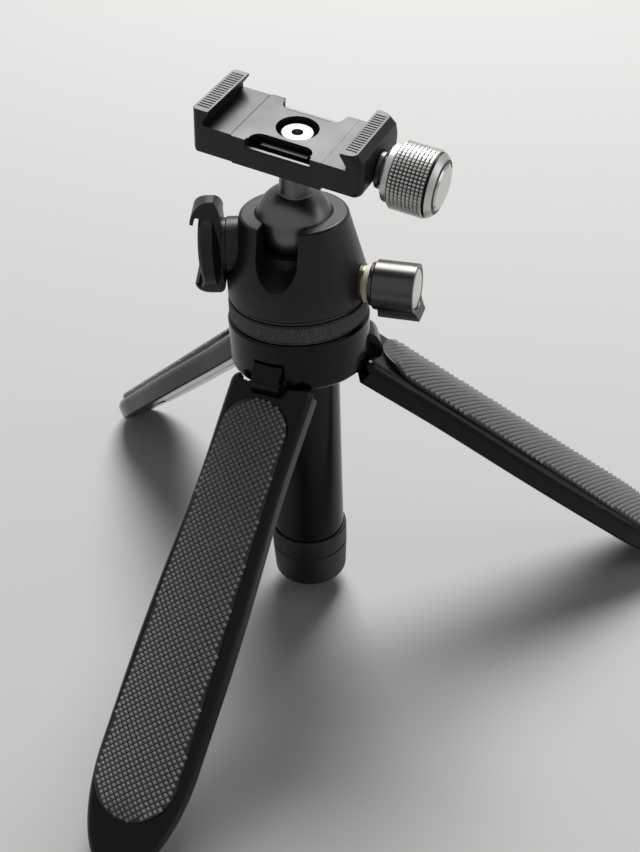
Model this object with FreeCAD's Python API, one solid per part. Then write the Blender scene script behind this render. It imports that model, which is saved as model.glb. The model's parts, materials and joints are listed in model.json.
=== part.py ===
import FreeCAD, Part
import math
import os

# Mini tripod with a ball head. Millimetres, +Z up. The origin is on the column axis at floor level,
# and leg 1 points along +X. Sizes named *_drop are below the lower edge of the lock ring, and sizes
# named *_over_ball or *_under_ball are measured from the ball's centre.

# Clearances and small edges that many pieces share
thread_clearance = 0.05
running_gap = 0.1
small_chamfer = 0.3
fine_edge = 0.5

# Reach of a cutting shape past what it cuts, tolerance for picking edges, and how far the ends of
# a quarter arc's chord lie from its middle, as a share of its radius
cut_margin = 1.0
tiny = 0.01
arc_inset = 1 - math.sqrt(0.5)
fold_steps = 6                  # turns of the crown's shape that a leg is cut by

# Lock ring, which sets the width of what is stacked with it
ring_radius = 20.0
ring_height = 6.0
ring_lower_chamfer = 0.67
ring_upper_chamfer = 0.4
ring_web = 1.3
ring_bore_clearance = 0.3

# Crown
crown_proud = 0.5               # beyond the lock ring
crown_height = 15.35
crown_lower_round = 2.5
crown_top_chamfer = 0.6
crown_gap = 0.15                # under the lock ring
crown_swing_clearance = 0.35
slot_mouth_radius = 3.0
slot_depth_beyond = 3.0
hub_wall = 1.95
hub_height = 4.3

# Column
tube_radius = 11.27
tube_wall = 1.2
tube_top_drop = 2.0
tube_bottom_drop = 96.5
collet_flare = 0.78             # of the cone's wide end, beyond the tube
collet_proud = 0.2
collet_slit = 1.2
collet_clearance = 0.05
guide_bush_wall = 0.8
guide_bush_length = 9.0
guide_bush_clearance = 0.07
inner_tube_wall = 1.0
inner_tube_setback = 8.5        # its lower end, above the outer tube's
top_plug_length = 12.0
cap_wall = 0.88
cap_taper = 0.49
cap_overlap = 17.13             # length of tube inside the cap
cap_floor = 1.35
cap_groove_from_top = 6.43
cap_groove_width = 0.6
cap_groove_depth = 0.45
cap_edge = 1.2

# Legs. A leg is drawn flat: X runs down the leg, Z is out of its padded face, which lies at Z = 0
leg_count = 3
leg_slope = 39.2                # below level, with the legs spread against their stops
leg_length = 139.5
leg_thickness = 8.15
leg_start_inset = 0.5           # the padded face begins this far inside the crown's rim
leg_start_drop = 11.55
leg_root_end = -1.0
leg_root_half_width = 12.9
leg_waist_half_width = 12.6
leg_calf_half_width = 13.6
leg_belly_half_width = 14.3
leg_toe_half_width = 14.2
leg_waist_at = 28.0
leg_calf_at = 56.0
leg_belly_at = 84.0
leg_toe_length = 31.5
leg_corner_radius = 3.0
leg_shoulder_drop = 0.75        # leg face under the pad's face
leg_shoulder_radius = 3.0
leg_edge_radius = 1.3
channel_start = 10.0            # hollow in the back of a leg that clears the column when folded
channel_toe_gap = 23.5
column_clearance = 0.35
pivot_inset = 3.3               # from the crown's rim
pivot_drop = 12.9
knuckle_radius = 6.55
knuckle_clearance = 0.35
heel_clearance = 0.6            # between the knuckle's heel and the tube
tongue_width = 8.7
tongue_end = 14.0
hinge_pin_radius = 1.3
hinge_pin_length = 17.6
hinge_pin_clearance = 0.03
washer_thickness = 0.28
washer_radius = 2.5
washer_clearance = 0.035
pad_start = 6.0
pad_toe_gap = 14.5
pad_upper_radius = 10.0
pad_lower_radius = 12.2
pad_thickness = 2.0             # under its rim
pad_crown = 1.5                 # the middle's height above the drawing's top plane
pad_crown_radius = 42.0
pad_end_slope = 9.0
pad_end_drop = 1.6
pad_edge_radius = 0.4
sole_height = 3.0
toe_trim = 1.2                  # height of the sharp lower corner that the flat sole cuts off

# Pan joint under the head
pan_disc_inset = 0.5            # from the lock ring's edge
pan_disc_thickness = 0.95
spigot_radius = 12.0
spigot_height = 5.6
spigot_clearance = 0.08
bearing_ring_wall = 2.37
retainer_gap = 0.15
retainer_overlap = 1.6          # beyond the spigot
retainer_thickness = 1.0
centre_screw_radius = 3.0
centre_screw_head_radius = 4.5
centre_screw_head_height = 0.8
centre_screw_bottom_drop = 6.0
socket_radius = 1.5
socket_depth = 1.6
wave_spring_width = 2.9
wave_spring_inset = 0.3
wave_spring_thickness = 0.3
wave_spring_rise = 0.5

# Ball housing
housing_inset = 0.15            # from the lock ring's edge
band_height = 6.25
rim_radius = 15.27
rim_over_ball = 2.96
rim_round = 1.1
rim_lap = 0.35                  # the mouth is this much under the ball's radius
rim_bore_chamfer = 0.25
pan_bore_headroom = 0.25
seat_wall = 0.9                 # between the ball and the bore that holds its seats
seat_bore_over_ball = 1.3
slot_azimuth = -112.7
slot_side_gap = 1.4             # beside the stem
slot_floor_under_ball = 12.64
slot_floor_inset = 0.55
slot_floor_slope = 23.5

# Ball, seats and head attitude
ball_radius = 11.0
ball_clearance = 0.05
stem_radius = 4.5
stem_fit = 0.05
lean_angle = 10.65              # of the stem, as the head stands
lean_azimuth = -71.1
clamp_yaw = -30.78              # of the clamp about the stem
upper_seat_under_ball = 2.0
upper_seat_reach = 2.0
cup_top_under_ball = 6.2
cup_floor = 2.54                # under the ball
cup_hole_radius = 6.5

# Main lock, on its own radial axis
main_lock_azimuth = 174.0
main_lock_under_ball = 6.74
pressure_pad_radius = 3.4
pressure_pad_seat = 1.3         # length of the pad's bore beyond the seats' bore
pressure_pad_lead = 3.0
lock_screw_radius = 2.5
lock_bush_radius = 7.8
lock_bush_depth = 2.4           # in the housing's wall
lock_bush_proud = 1.17
lock_hub_gap = 0.15
lock_hub_radius = 11.2
lock_hub_length = 6.55
lock_neck_radius = 7.5          # of the hub inside the housing's recess
lock_neck_length = 1.25
lock_cone_length = 1.8
lock_cover_inset = 2.5
lock_cover_thickness = 0.8
wing_reach = 13.9
wing_hook = 2.7                 # of the tips beyond the hub's face
wing_half_width = 7.2
wing_back_gap = 1.1
wing_waist = 8.4
wing_curl = 3.3
wing_back_curl = 1.7
wing_back_bow = 0.4
wing_rise = 3.9
wing_nose = 0.6                 # height of the tips' blunt noses
wing_lip = 0.9
wing_hollow = 2.1               # behind the noses
plan_margin = 0.8

# Pan lock, on its own radial axis
pan_lock_azimuth = -22.0
pan_lock_over_base = 4.3
pan_tip_radius = 1.1
pan_screw_radius = 2.0
pan_boss_radius = 5.4
pan_boss_proud = 0.05           # beyond the housing's band
brass_ring_thickness = 0.4
pan_bush_radius = 5.4
pan_bush_thickness = 1.6
pan_bush_edge = 0.2
pan_collar_radius = 6.1
pan_collar_length = 1.0
pan_barrel_radius = 7.0
pan_barrel_length = 12.9
pan_barrel_edge = 0.4
pan_face_thickness = 1.2
pan_face_inset = 1.2
tab_setback = 2.5
tab_overhang = 1.7
tab_reach = 8.4
tab_half_width = 3.9
tab_round = 0.8
tab_web_root = 0.98             # share of the barrel's and the tab's width that the web between them takes
tab_web_gap = 1.4

# Clamp, drawn with the ball's centre as origin, Z up the stem and X along the clamp
clamp_bed = 29.1
clamp_depth = 8.0
clamp_half_width = 11.2
clamp_mid_half_width = 11.6
clamp_step = -13.4              # where the body widens
scribed_line_width = 0.25       # line cut across the bed there
scribed_line_depth = 0.12
fixed_lip = -20.1
lip_gap = 37.2
jaw_height = 4.4
jaw_top_width = 4.6
fixed_jaw_depth = 4.9
moving_jaw_depth = 6.6
moving_jaw_heel = 4.7           # from its lip back to where it meets the body
jaw_edge = 0.6
jaw_slope_height = 1.6
undercut = 1.75
lip_land = 0.7
undercut_height = 1.1           # upright foot of the undercut above the bed
clamp_lower_chamfer = 1.2
clamp_corner_radius = 1.8
jaw_plan_radius = 1.8
parting_gap = 0.05
jaw_corner_radius = 3.0
rib_depth = 0.25
rib_pitch = 1.15
rib_border = 1.4
counterbore_radius = 5.7
counterbore_depth = 4.4
clamp_web = 2.0                 # under the counterbore, on the stem's end
clamp_screw_radius = 2.5
clamp_screw_length = 18.5
clamp_screw_head_radius = 4.65
clamp_screw_head_depth = 1.2
clamp_washer_thickness = 0.7
clamp_washer_overlap = 0.3
pocket_left = -8.9
pocket_right = 8.7
pocket_reach = 4.75
pocket_depth = 4.0
pocket_corner = 3.0
pocket_ledge_depth = 1.8
pocket_ledge_setback = 0.75
pocket_ledge_width = 1.5
pocket_lip_depth = 2.3
pocket_lip_width = 1.1
pocket_lip_slope = 2.2
pocket_end_margin = 0.4
rod_under_bed = 4.6
rod_radius = 2.5
rod_end_wall = 0.7
guide_pin_radius = 1.2
guide_pin_under_rod = 1.25
guide_pin_offset = 7.6
guide_pin_grip = 8.4            # in the body
guide_pin_cover = 2.7           # of the moving jaw beyond the pins
guide_pin_end_gap = 0.3
spring_bore_gap = 0.25
spring_thickness = 0.95
spring_length = 3.0
collar_radius = 5.0
collar_length = 1.3
collar_neck_radius = 4.2
collar_neck_length = 1.35
knob_gap = 0.15
knob_length = 14.0
knob_radius = 8.85
knob_flange_radius = 7.7
knob_flange_length = 1.8
knob_flange_edge = 0.8
knob_shoulder = 1.0
knob_front_chamfer = 1.5
knob_disc_radius = 6.0
knob_disc_depth = 0.7
knob_disc_proud = 0.6
knob_disc_edge = 0.4

# Radii and lengths that follow from the sizes above
crown_radius = ring_radius + crown_proud
pivot_radius = crown_radius - pivot_inset
leg_start_radius = crown_radius - leg_start_inset
knuckle_heel_radius = pivot_radius - tube_radius - heel_clearance
leg_toe_at = leg_length - leg_toe_length
pad_end = leg_length - pad_toe_gap
channel_end = leg_length - channel_toe_gap
pad_rim_height = pad_crown - pad_end_drop
pad_end_radius = (pad_end_slope ** 2 + pad_end_drop ** 2) / (2 * pad_end_drop)
tube_bore = tube_radius - tube_wall
inner_tube_radius = tube_bore - guide_bush_clearance - guide_bush_wall
inner_tube_bottom_drop = tube_bottom_drop - inner_tube_setback
collet_top_radius = tube_radius + collet_flare
hub_radius = collet_top_radius + hub_wall
cap_top_radius = tube_radius + cap_wall
cap_bottom_radius = cap_top_radius - cap_taper
cap_top_drop = tube_bottom_drop - cap_overlap
cap_bottom_drop = tube_bottom_drop + cap_floor
cap_groove_drop = cap_top_drop + cap_groove_from_top
pan_disc_radius = ring_radius - pan_disc_inset
bearing_ring_radius = spigot_radius + spigot_clearance + bearing_ring_wall
pan_bore_radius = bearing_ring_radius + thread_clearance
retainer_radius = spigot_radius + retainer_overlap
housing_radius = ring_radius - housing_inset
rim_bore_radius = ball_radius - rim_lap
seat_bore_radius = ball_radius + seat_wall
ball_seat_radius = ball_radius + ball_clearance
slot_half_width = stem_radius + slot_side_gap
slot_floor_radius = housing_radius - slot_floor_inset
wave_spring_outer = seat_bore_radius - wave_spring_inset
wave_spring_inner = wave_spring_outer - wave_spring_width
hinge_slot_half_width = tongue_width / 2 + washer_thickness + 2 * washer_clearance
moving_lip = fixed_lip + lip_gap
clamp_left = fixed_lip - fixed_jaw_depth
parting = moving_lip - moving_jaw_heel
jaw_right = moving_lip + moving_jaw_depth
jaw_top = clamp_bed + jaw_height
clamp_bottom = clamp_bed - clamp_depth
counterbore_floor = clamp_bed - counterbore_depth
screw_seat = counterbore_floor + clamp_washer_thickness
stem_top = counterbore_floor - clamp_web
clamp_screw_head_top = clamp_bed - clamp_screw_head_depth
clamp_screw_end = clamp_screw_head_top - clamp_screw_length
rod_height = clamp_bed - rod_under_bed
rod_start = counterbore_radius + rod_end_wall
guide_pin_height = rod_height - guide_pin_under_rod
guide_pin_start = parting - guide_pin_grip
guide_pin_end = jaw_right - guide_pin_cover
spring_inner = rod_radius + spring_bore_gap
spring_outer = spring_inner + spring_thickness
collar_step = jaw_right + collar_length
collar_end = collar_step + collar_neck_length
knob_start = collar_end + knob_gap
knob_end = knob_start + knob_length
knob_disc_seat = knob_end - knob_disc_depth
pocket_back = clamp_mid_half_width - pocket_reach
pocket_floor = clamp_bed - pocket_depth


def vec(x, y, z):
    return FreeCAD.Vector(x, y, z)


x_axis = vec(1, 0, 0)
y_axis = vec(0, 1, 0)
z_axis = vec(0, 0, 1)
no_turn = FreeCAD.Rotation()


def outline(start, *steps):
    """Face in the XZ plane. A step is an end point, or an arc's mid point and end point together."""
    edges = []
    here = vec(start[0], 0, start[1])
    first = here
    for step in steps:
        there = vec(step[-2], 0, step[-1])
        if len(step) == 2:
            edges.append(Part.makeLine(here, there))
        else:
            edges.append(Part.Arc(here, vec(step[0], 0, step[1]), there).toShape())
        here = there
    if here.distanceToPoint(first) > 1e-6:
        edges.append(Part.makeLine(here, first))
    return Part.Face(Part.Wire(edges))


def turned(start, *steps):
    """Solid of revolution about Z from an outline of radius and height."""
    return outline(start, *steps).revolve(vec(0, 0, 0), z_axis, 360)


def turned_x(start, *steps):
    """Solid of revolution about X from an outline of distance along X and radius."""
    return outline(start, *steps).revolve(vec(0, 0, 0), x_axis, 360)


def slab(face, half_width):
    """An outline in the XZ plane made thick, evenly to both sides of it."""
    face.translate(vec(0, -half_width, 0))
    return face.extrude(vec(0, 2 * half_width, 0))


def rod(radius, start, direction, length):
    return Part.makeCylinder(radius, length, start, direction)


def block(low, high):
    size = [b - a for a, b in zip(low, high)]
    return Part.makeBox(size[0], size[1], size[2], vec(*low))


def moved(shape, placement):
    copy = shape.copy()
    copy.Placement = placement.multiply(copy.Placement)
    return copy


def around(shape, azimuth):
    return moved(shape, FreeCAD.Placement(vec(0, 0, 0), FreeCAD.Rotation(z_axis, azimuth)))


def raised(shape, height):
    return moved(shape, FreeCAD.Placement(vec(0, 0, height), no_turn))


def fuse(first, *others):
    return first.fuse(list(others)).removeSplitter()


def leg_side_curves(points):
    """Closed wire in the XY plane through mirrored points, smooth along both sides."""
    upper = [vec(x, y, 0) for x, y in points]
    lower = [vec(x, -y, 0) for x, y in reversed(points)]
    curves = []
    for side, start_along in ((upper, x_axis), (lower, x_axis.negative())):
        curve = Part.BSplineCurve()
        curve.interpolate(Points=side, InitialTangent=start_along, FinalTangent=start_along)
        curves.append(curve.toShape())
    return curves


def tapered_slot(first_x, first_radius, last_x, last_radius, grow):
    """Face in the XY plane: a long slot whose two round ends differ in radius, wider by grow all round."""
    lean = math.asin((last_radius - first_radius) / (last_x - first_x))
    first_r = first_radius + grow
    last_r = last_radius + grow
    across = math.cos(lean)
    back = math.sin(lean)
    a = vec(first_x - first_r * back, first_r * across, 0)
    b = vec(last_x - last_r * back, last_r * across, 0)
    c = vec(b.x, -b.y, 0)
    d = vec(a.x, -a.y, 0)
    edges = [
        Part.makeLine(a, b),
        Part.Arc(b, vec(last_x + last_r, 0, 0), c).toShape(),
        Part.makeLine(c, d),
        Part.Arc(d, vec(first_x - first_r, 0, 0), a).toShape(),
    ]
    return Part.Face(Part.Wire(edges))


# Places that follow from the sizes above
slope = math.radians(leg_slope)
ring_z = leg_start_drop + leg_length * math.sin(slope) + leg_thickness * math.cos(slope) - toe_trim
leg_place = FreeCAD.Placement(
    vec(leg_start_radius, 0, ring_z - leg_start_drop), FreeCAD.Rotation(y_axis, leg_slope)
)
fold_angle = 90 - leg_slope
pivot = vec(pivot_radius, 0, ring_z - pivot_drop)
leg_pivot = leg_place.inverse().multVec(pivot)
folded_face_radius = pivot_radius - leg_pivot.z
crown_top = ring_z - crown_gap
crown_bottom = crown_top - crown_height
collet_bottom_z = ring_z - tube_top_drop
hub_top_z = ring_z + hub_height
collet_top_z = hub_top_z + collet_proud
inner_tube_bottom_z = ring_z - inner_tube_bottom_drop
ring_top_z = ring_z + ring_height
pan_disc_z = ring_top_z + running_gap
pan_disc_top_z = pan_disc_z + pan_disc_thickness
housing_bottom_z = pan_disc_top_z + running_gap
spigot_top_z = pan_disc_top_z + spigot_height
retainer_top_z = spigot_top_z + retainer_thickness
wave_spring_z = retainer_top_z + running_gap
cup_bottom_z = wave_spring_z + wave_spring_rise + wave_spring_thickness + running_gap
centre_screw_bottom_z = ring_z - centre_screw_bottom_drop
ball_z = cup_bottom_z + cup_floor + ball_seat_radius
band_top_z = housing_bottom_z + band_height
rim_z = ball_z + rim_over_ball
main_lock_z = ball_z - main_lock_under_ball
pan_lock_z = housing_bottom_z + pan_lock_over_base
lean_axis = vec(-math.sin(math.radians(lean_azimuth)), math.cos(math.radians(lean_azimuth)), 0)
head_turn = FreeCAD.Rotation(lean_axis, lean_angle).multiply(FreeCAD.Rotation(z_axis, clamp_yaw))
head_place = FreeCAD.Placement(vec(0, 0, ball_z), head_turn)
wall_share = (main_lock_z - band_top_z) / (rim_z - rim_round - band_top_z)
main_lock_wall = housing_radius + (rim_radius - housing_radius) * wall_share
pressure_pad_end = seat_bore_radius + pressure_pad_seat
lock_screw_start = pressure_pad_end + thread_clearance
lock_bush_start = main_lock_wall - lock_bush_depth
lock_bush_end = main_lock_wall + lock_bush_proud
lock_hub_start = lock_bush_end + lock_hub_gap
lock_face = lock_hub_start + lock_hub_length
wing_tip = lock_face + wing_hook
pan_boss_end = housing_radius + pan_boss_proud
brass_ring_end = pan_boss_end + brass_ring_thickness
pan_bush_end = brass_ring_end + pan_bush_thickness
pan_knob_start = pan_bush_end + running_gap
pan_barrel_end = pan_knob_start + pan_barrel_length
pan_disc_seat = pan_barrel_end - pan_face_thickness
tab_start = pan_knob_start + tab_setback
tab_end = pan_barrel_end + tab_overhang
pan_tip_end = pan_bore_radius + running_gap
pan_bush_bore = pan_screw_radius + thread_clearance


# Legs, drawn flat and then placed

def leg_outline():
    sides = [
        (leg_root_end + leg_corner_radius, leg_root_half_width),
        (leg_waist_at, leg_waist_half_width),
        (leg_calf_at, leg_calf_half_width),
        (leg_belly_at, leg_belly_half_width),
        (leg_toe_at, leg_toe_half_width),
    ]
    upper, lower = leg_side_curves(sides)
    toe = Part.Ellipse(vec(leg_toe_at, 0, 0), leg_toe_length, leg_toe_half_width)
    toe_edge = Part.ArcOfEllipse(toe, -math.pi / 2, math.pi / 2).toShape()
    inset = leg_corner_radius * (1 - math.sqrt(0.5))
    corner_y = leg_root_half_width - leg_corner_radius
    a = vec(leg_root_end, -corner_y, 0)
    b = vec(leg_root_end, corner_y, 0)
    end = vec(leg_root_end + leg_corner_radius, leg_root_half_width, 0)
    mid = vec(leg_root_end + inset, leg_root_half_width - inset, 0)
    corner = Part.Arc(b, mid, end).toShape()
    other = Part.Arc(vec(end.x, -end.y, 0), vec(mid.x, -mid.y, 0), a).toShape()
    return Part.Wire([Part.makeLine(a, b), corner, upper, toe_edge, lower, other])


def wide_leg():
    """The broad body of a leg with rounded edges, before it is fitted round the crown."""
    face = Part.Face(leg_outline())
    face.translate(vec(0, 0, -leg_thickness))
    body = face.extrude(vec(0, 0, leg_thickness - leg_shoulder_drop))
    tops = [e for e in body.Edges if min(v.Z for v in e.Vertexes) > -leg_shoulder_drop - tiny]
    body = body.makeFillet(leg_shoulder_radius, tops)
    lows = [e for e in body.Edges if max(v.Z for v in e.Vertexes) < -leg_thickness + tiny]
    body = body.makeFillet(leg_edge_radius, lows)
    channel_radius = cap_top_radius + column_clearance
    length = channel_end - channel_start
    return body.cut(rod(channel_radius, vec(channel_start, 0, -folded_face_radius), x_axis, length))


def crown_slot(room):
    """The slot that a knuckle turns in, with its rounded mouth, narrower by room all round."""
    low = crown_bottom
    ceiling = pivot.z + knuckle_radius + knuckle_clearance - room
    m = slot_mouth_radius
    w = hinge_slot_half_width
    half = w - room
    bow = m - (m + room) * math.sqrt(0.5)
    mouth = outline(
        (-half, ceiling), (-half, low + m), (-w - bow, low + bow, -w - m, low - room), (-w - m, low - m),
        (w + m, low - m), (w + m, low - room), (w + bow, low + bow, half, low + m), (half, ceiling),
    )
    mouth.rotate(vec(0, 0, 0), z_axis, 90)
    mouth.translate(vec(tube_bore, 0, 0))
    return mouth.extrude(vec(crown_radius - tube_bore + slot_depth_beyond, 0, 0))


def crown_keep_out():
    """The crown with room around it, turned back about the hinge as the leg folds."""
    height = 2 * crown_height
    base = vec(0, 0, crown_bottom - crown_swing_clearance)
    keep_out = rod(crown_radius + crown_swing_clearance, base, z_axis, height)
    keep_out = keep_out.cut(crown_slot(crown_swing_clearance))
    copies = []
    for step in range(fold_steps + 1):
        copy = keep_out.copy()
        copy.rotate(pivot, y_axis, -fold_angle * step / fold_steps)
        copies.append(copy)
    return copies


def tongue():
    """The knuckle that turns in the crown's slot, in the leg's own drawing."""
    side = vec(leg_pivot.x, -tongue_width / 2, leg_pivot.z)
    heel = rod(knuckle_heel_radius, side, y_axis, tongue_width)
    hump = rod(knuckle_radius, side, y_axis, tongue_width)
    above = block(
        (leg_pivot.x - knuckle_radius, -tongue_width, leg_pivot.z),
        (leg_pivot.x + knuckle_radius, tongue_width, leg_pivot.z + knuckle_radius),
    )
    bottom = leg_pivot.z - knuckle_heel_radius
    neck = block(
        (leg_pivot.x, -tongue_width / 2, bottom),
        (tongue_end, tongue_width / 2, -leg_shoulder_drop),
    )
    return fuse(heel, hump.common(above), neck)


def pad_face(grow):
    first = pad_start + pad_upper_radius
    last = pad_end - pad_lower_radius
    return tapered_slot(first, pad_upper_radius, last, pad_lower_radius, grow)


def crowned_pad():
    """The rubber pad: domed across the leg and rounded down towards its two ends."""
    pad = pad_face(0)
    pad.translate(vec(0, 0, -pad_thickness))
    pad = pad.extrude(vec(0, 0, pad_thickness + pad_crown))
    half_slope = pad_end_slope / 2
    slope_middle = pad_crown - pad_end_radius + math.sqrt(pad_end_radius ** 2 - half_slope ** 2)
    lengthways = slab(outline(
        (pad_start, -pad_thickness), (pad_start, pad_rim_height),
        (pad_start + half_slope, slope_middle, pad_start + pad_end_slope, pad_crown),
        (pad_end - pad_end_slope, pad_crown),
        (pad_end - half_slope, slope_middle, pad_end, pad_rim_height),
        (pad_end, -pad_thickness),
    ), pad_lower_radius + small_chamfer)
    axis_height = pad_crown - pad_crown_radius
    across = rod(pad_crown_radius, vec(pad_start, 0, axis_height), x_axis, pad_end - pad_start)
    pad = pad.common(lengthways).common(across)
    side = Part.Wire(pad_face(0).Edges)
    rim = []
    for edge in pad.Edges:
        middle = edge.valueAt(sum(edge.ParameterRange) / 2)
        on_side = side.distToShape(Part.Vertex(middle.x, middle.y, 0))[0] < tiny
        if on_side and min(v.Z for v in edge.Vertexes) > -pad_thickness + tiny:
            rim.append(edge)
    return pad.makeFillet(pad_edge_radius, rim)


def leg_solids():
    """One leg's body, pad and sole, placed along +X."""
    body = wide_leg().cut([moved(c, leg_place.inverse()) for c in crown_keep_out()])
    body = max(body.Solids, key=lambda s: s.Volume)
    side = vec(leg_pivot.x, -tongue_width, leg_pivot.z)
    body = body.cut(rod(washer_radius + running_gap, side, y_axis, 2 * tongue_width))
    body = fuse(body, tongue())
    recess = pad_face(0)
    recess.translate(vec(0, 0, -pad_thickness))
    body = body.cut(recess.extrude(vec(0, 0, pad_thickness + knuckle_radius)))
    body = body.cut(rod(hinge_pin_radius + hinge_pin_clearance, side, y_axis, 2 * tongue_width))
    pad = crowned_pad()
    body = moved(body, leg_place)
    far = leg_start_radius + leg_length
    under = block((0, -far, -leg_thickness), (far, far, 0))
    low = block((0, -far, 0), (far, far, sole_height))
    sole = body.common(low)
    body = body.cut([under, low])
    return body, moved(pad, leg_place), sole


# Crown and column

def crown():
    top = crown_top
    low = crown_bottom
    r = crown_radius
    k = crown_lower_round
    cut = crown_top_chamfer
    inset = k * arc_inset
    body = turned(
        (tube_radius, low), (r - k, low), (r - inset, low + inset, r, low + k),
        (r, top - cut), (r - cut, top), (hub_radius, top), (hub_radius, hub_top_z),
        (collet_top_radius, hub_top_z), (tube_radius, collet_bottom_z),
    )
    slot = crown_slot(0)
    cuts = []
    for number in range(leg_count):
        azimuth = 360 / leg_count * number
        cuts.append(around(slot, azimuth))
        cuts.append(around(hinge_pin(), azimuth))
    return body.cut(cuts)


def collet_outer(z):
    """Radius of the cone that the collet and its seat share."""
    return tube_radius + collet_flare * (z - collet_bottom_z) / (hub_top_z - collet_bottom_z)


def hinge_pin():
    start = vec(pivot.x, -hinge_pin_length / 2, pivot.z)
    return rod(hinge_pin_radius, start, y_axis, hinge_pin_length)


def hinge_washers():
    washers = []
    for side in (-1, 1):
        middle = side * (hinge_slot_half_width - washer_clearance - washer_thickness / 2)
        start = vec(pivot.x, middle - washer_thickness / 2, pivot.z)
        disc = rod(washer_radius, start, y_axis, washer_thickness)
        washers.append(disc.cut(hinge_pin()))
    return washers


def end_cap():
    top = ring_z - cap_top_drop
    low = ring_z - cap_bottom_drop
    groove = ring_z - cap_groove_drop
    floor = ring_z - tube_bottom_drop
    wide = cap_top_radius
    slim = cap_bottom_radius
    return turned(
        (0, low), (slim - cap_edge, low),
        (slim - cap_edge * arc_inset, low + cap_edge * arc_inset, slim, low + cap_edge),
        (wide, groove - cap_groove_width), (wide - cap_groove_depth, groove - cap_groove_width),
        (wide - cap_groove_depth, groove), (wide, groove), (wide, top - cap_groove_depth),
        (wide - cap_groove_depth, top), (tube_radius, top), (tube_radius, floor), (0, floor),
    )


def collet():
    top = collet_top_z
    inner = inner_tube_radius + collet_clearance
    body = turned(
        (inner, collet_bottom_z), (collet_outer(collet_bottom_z), collet_bottom_z),
        (collet_outer(top), top), (inner, top),
    )
    slit = block((0, -collet_slit / 2, collet_bottom_z), (hub_radius, collet_slit / 2, top))
    return body.cut(slit)


def lock_ring():
    low = ring_z
    top = ring_top_z
    web_z = top - ring_web
    bore = inner_tube_radius + ring_bore_clearance
    skirt = hub_radius + thread_clearance
    r = ring_radius
    return turned(
        (bore, web_z), (skirt, web_z), (skirt, low), (r - ring_lower_chamfer, low),
        (r, low + ring_lower_chamfer), (r, top - ring_upper_chamfer),
        (r - ring_upper_chamfer, top), (bore, top),
    )


def tube(outer, inner, low, high):
    return turned((inner, low), (outer, low), (outer, high), (inner, high))


# Pan joint

def pan_base():
    low = pan_disc_z
    top = pan_disc_top_z
    r = pan_disc_radius
    return turned(
        (centre_screw_radius, low), (r - small_chamfer, low), (r, low + small_chamfer),
        (r, top - small_chamfer), (r - small_chamfer, top), (spigot_radius, top),
        (spigot_radius, spigot_top_z), (centre_screw_radius, spigot_top_z),
    )


def centre_screw():
    top = retainer_top_z + centre_screw_head_height
    screw = turned(
        (0, centre_screw_bottom_z), (centre_screw_radius, centre_screw_bottom_z),
        (centre_screw_radius, retainer_top_z), (centre_screw_head_radius, retainer_top_z),
        (centre_screw_head_radius, top - small_chamfer),
        (centre_screw_head_radius - small_chamfer, top), (0, top),
    )
    return screw.cut(rod(socket_radius, vec(0, 0, retainer_top_z), z_axis, centre_screw_head_height))


def wave_spring():
    low = wave_spring_z
    return turned(
        (wave_spring_outer, low), (wave_spring_outer, low + wave_spring_thickness),
        (wave_spring_inner, low + wave_spring_rise + wave_spring_thickness),
        (wave_spring_inner, low + wave_spring_rise),
    )


# Ball housing

def drop_slot():
    """Sloping round-bottomed slot through the housing wall, open at the rim."""
    half = slot_half_width
    tilt = math.radians(slot_floor_slope)
    inner = ball_radius - half
    outer = housing_radius + half
    axis_z = ball_z - slot_floor_under_ball + half / math.cos(tilt)

    def centre(radius):
        return axis_z + (slot_floor_radius - radius) * math.tan(tilt)

    down = vec(math.cos(tilt), 0, -math.sin(tilt))
    floor = rod(half, vec(inner, 0, centre(inner)), down, (outer - inner) / math.cos(tilt))
    above = rim_z + half
    walls = outline((inner, centre(inner)), (outer, centre(outer)), (outer, above), (inner, above))
    return around(fuse(floor, slab(walls, half)), slot_azimuth)


def radial_bore(radius, start, end, z, azimuth):
    return around(rod(radius, vec(start, 0, z), x_axis, end - start), azimuth)


def housing():
    low = housing_bottom_z
    r = housing_radius
    bore_top = ball_z + seat_bore_over_ball
    pan_bore_top = retainer_top_z + pan_bore_headroom
    inset = rim_round * arc_inset
    body = turned(
        (pan_bore_radius, low), (r - small_chamfer, low), (r, low + small_chamfer), (r, band_top_z),
        (rim_radius, rim_z - rim_round),
        (rim_radius - inset, rim_z - inset, rim_radius - rim_round, rim_z),
        (rim_bore_radius + rim_bore_chamfer, rim_z), (rim_bore_radius, rim_z - rim_bore_chamfer),
        (rim_bore_radius, bore_top), (seat_bore_radius, bore_top),
        (seat_bore_radius, pan_bore_top), (pan_bore_radius, pan_bore_top),
    )
    body = body.cut(Part.makeSphere(ball_seat_radius + thread_clearance, vec(0, 0, ball_z)))
    far = pan_boss_end + cut_margin
    boss = radial_bore(
        pan_boss_radius, pan_bore_radius + cut_margin, pan_boss_end, pan_lock_z, pan_lock_azimuth
    )
    body = fuse(body, boss.common(tube(far, pan_bore_radius, low, rim_z)))
    pan_hole_start = pan_bore_radius - cut_margin
    main_hole_start = seat_bore_radius - cut_margin
    pad_hole_radius = pressure_pad_radius + thread_clearance
    pad_hole_end = pressure_pad_end + running_gap
    lock_hole_radius = lock_screw_radius + thread_clearance
    main = (main_lock_z, main_lock_azimuth)
    return body.cut([
        drop_slot(),
        radial_bore(pan_bush_bore, pan_hole_start, far, pan_lock_z, pan_lock_azimuth),
        radial_bore(lock_hole_radius, main_hole_start, far, *main),
        radial_bore(pad_hole_radius, main_hole_start, pad_hole_end, *main),
        radial_bore(lock_bush_radius, lock_bush_start, far, *main),
    ])


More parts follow.
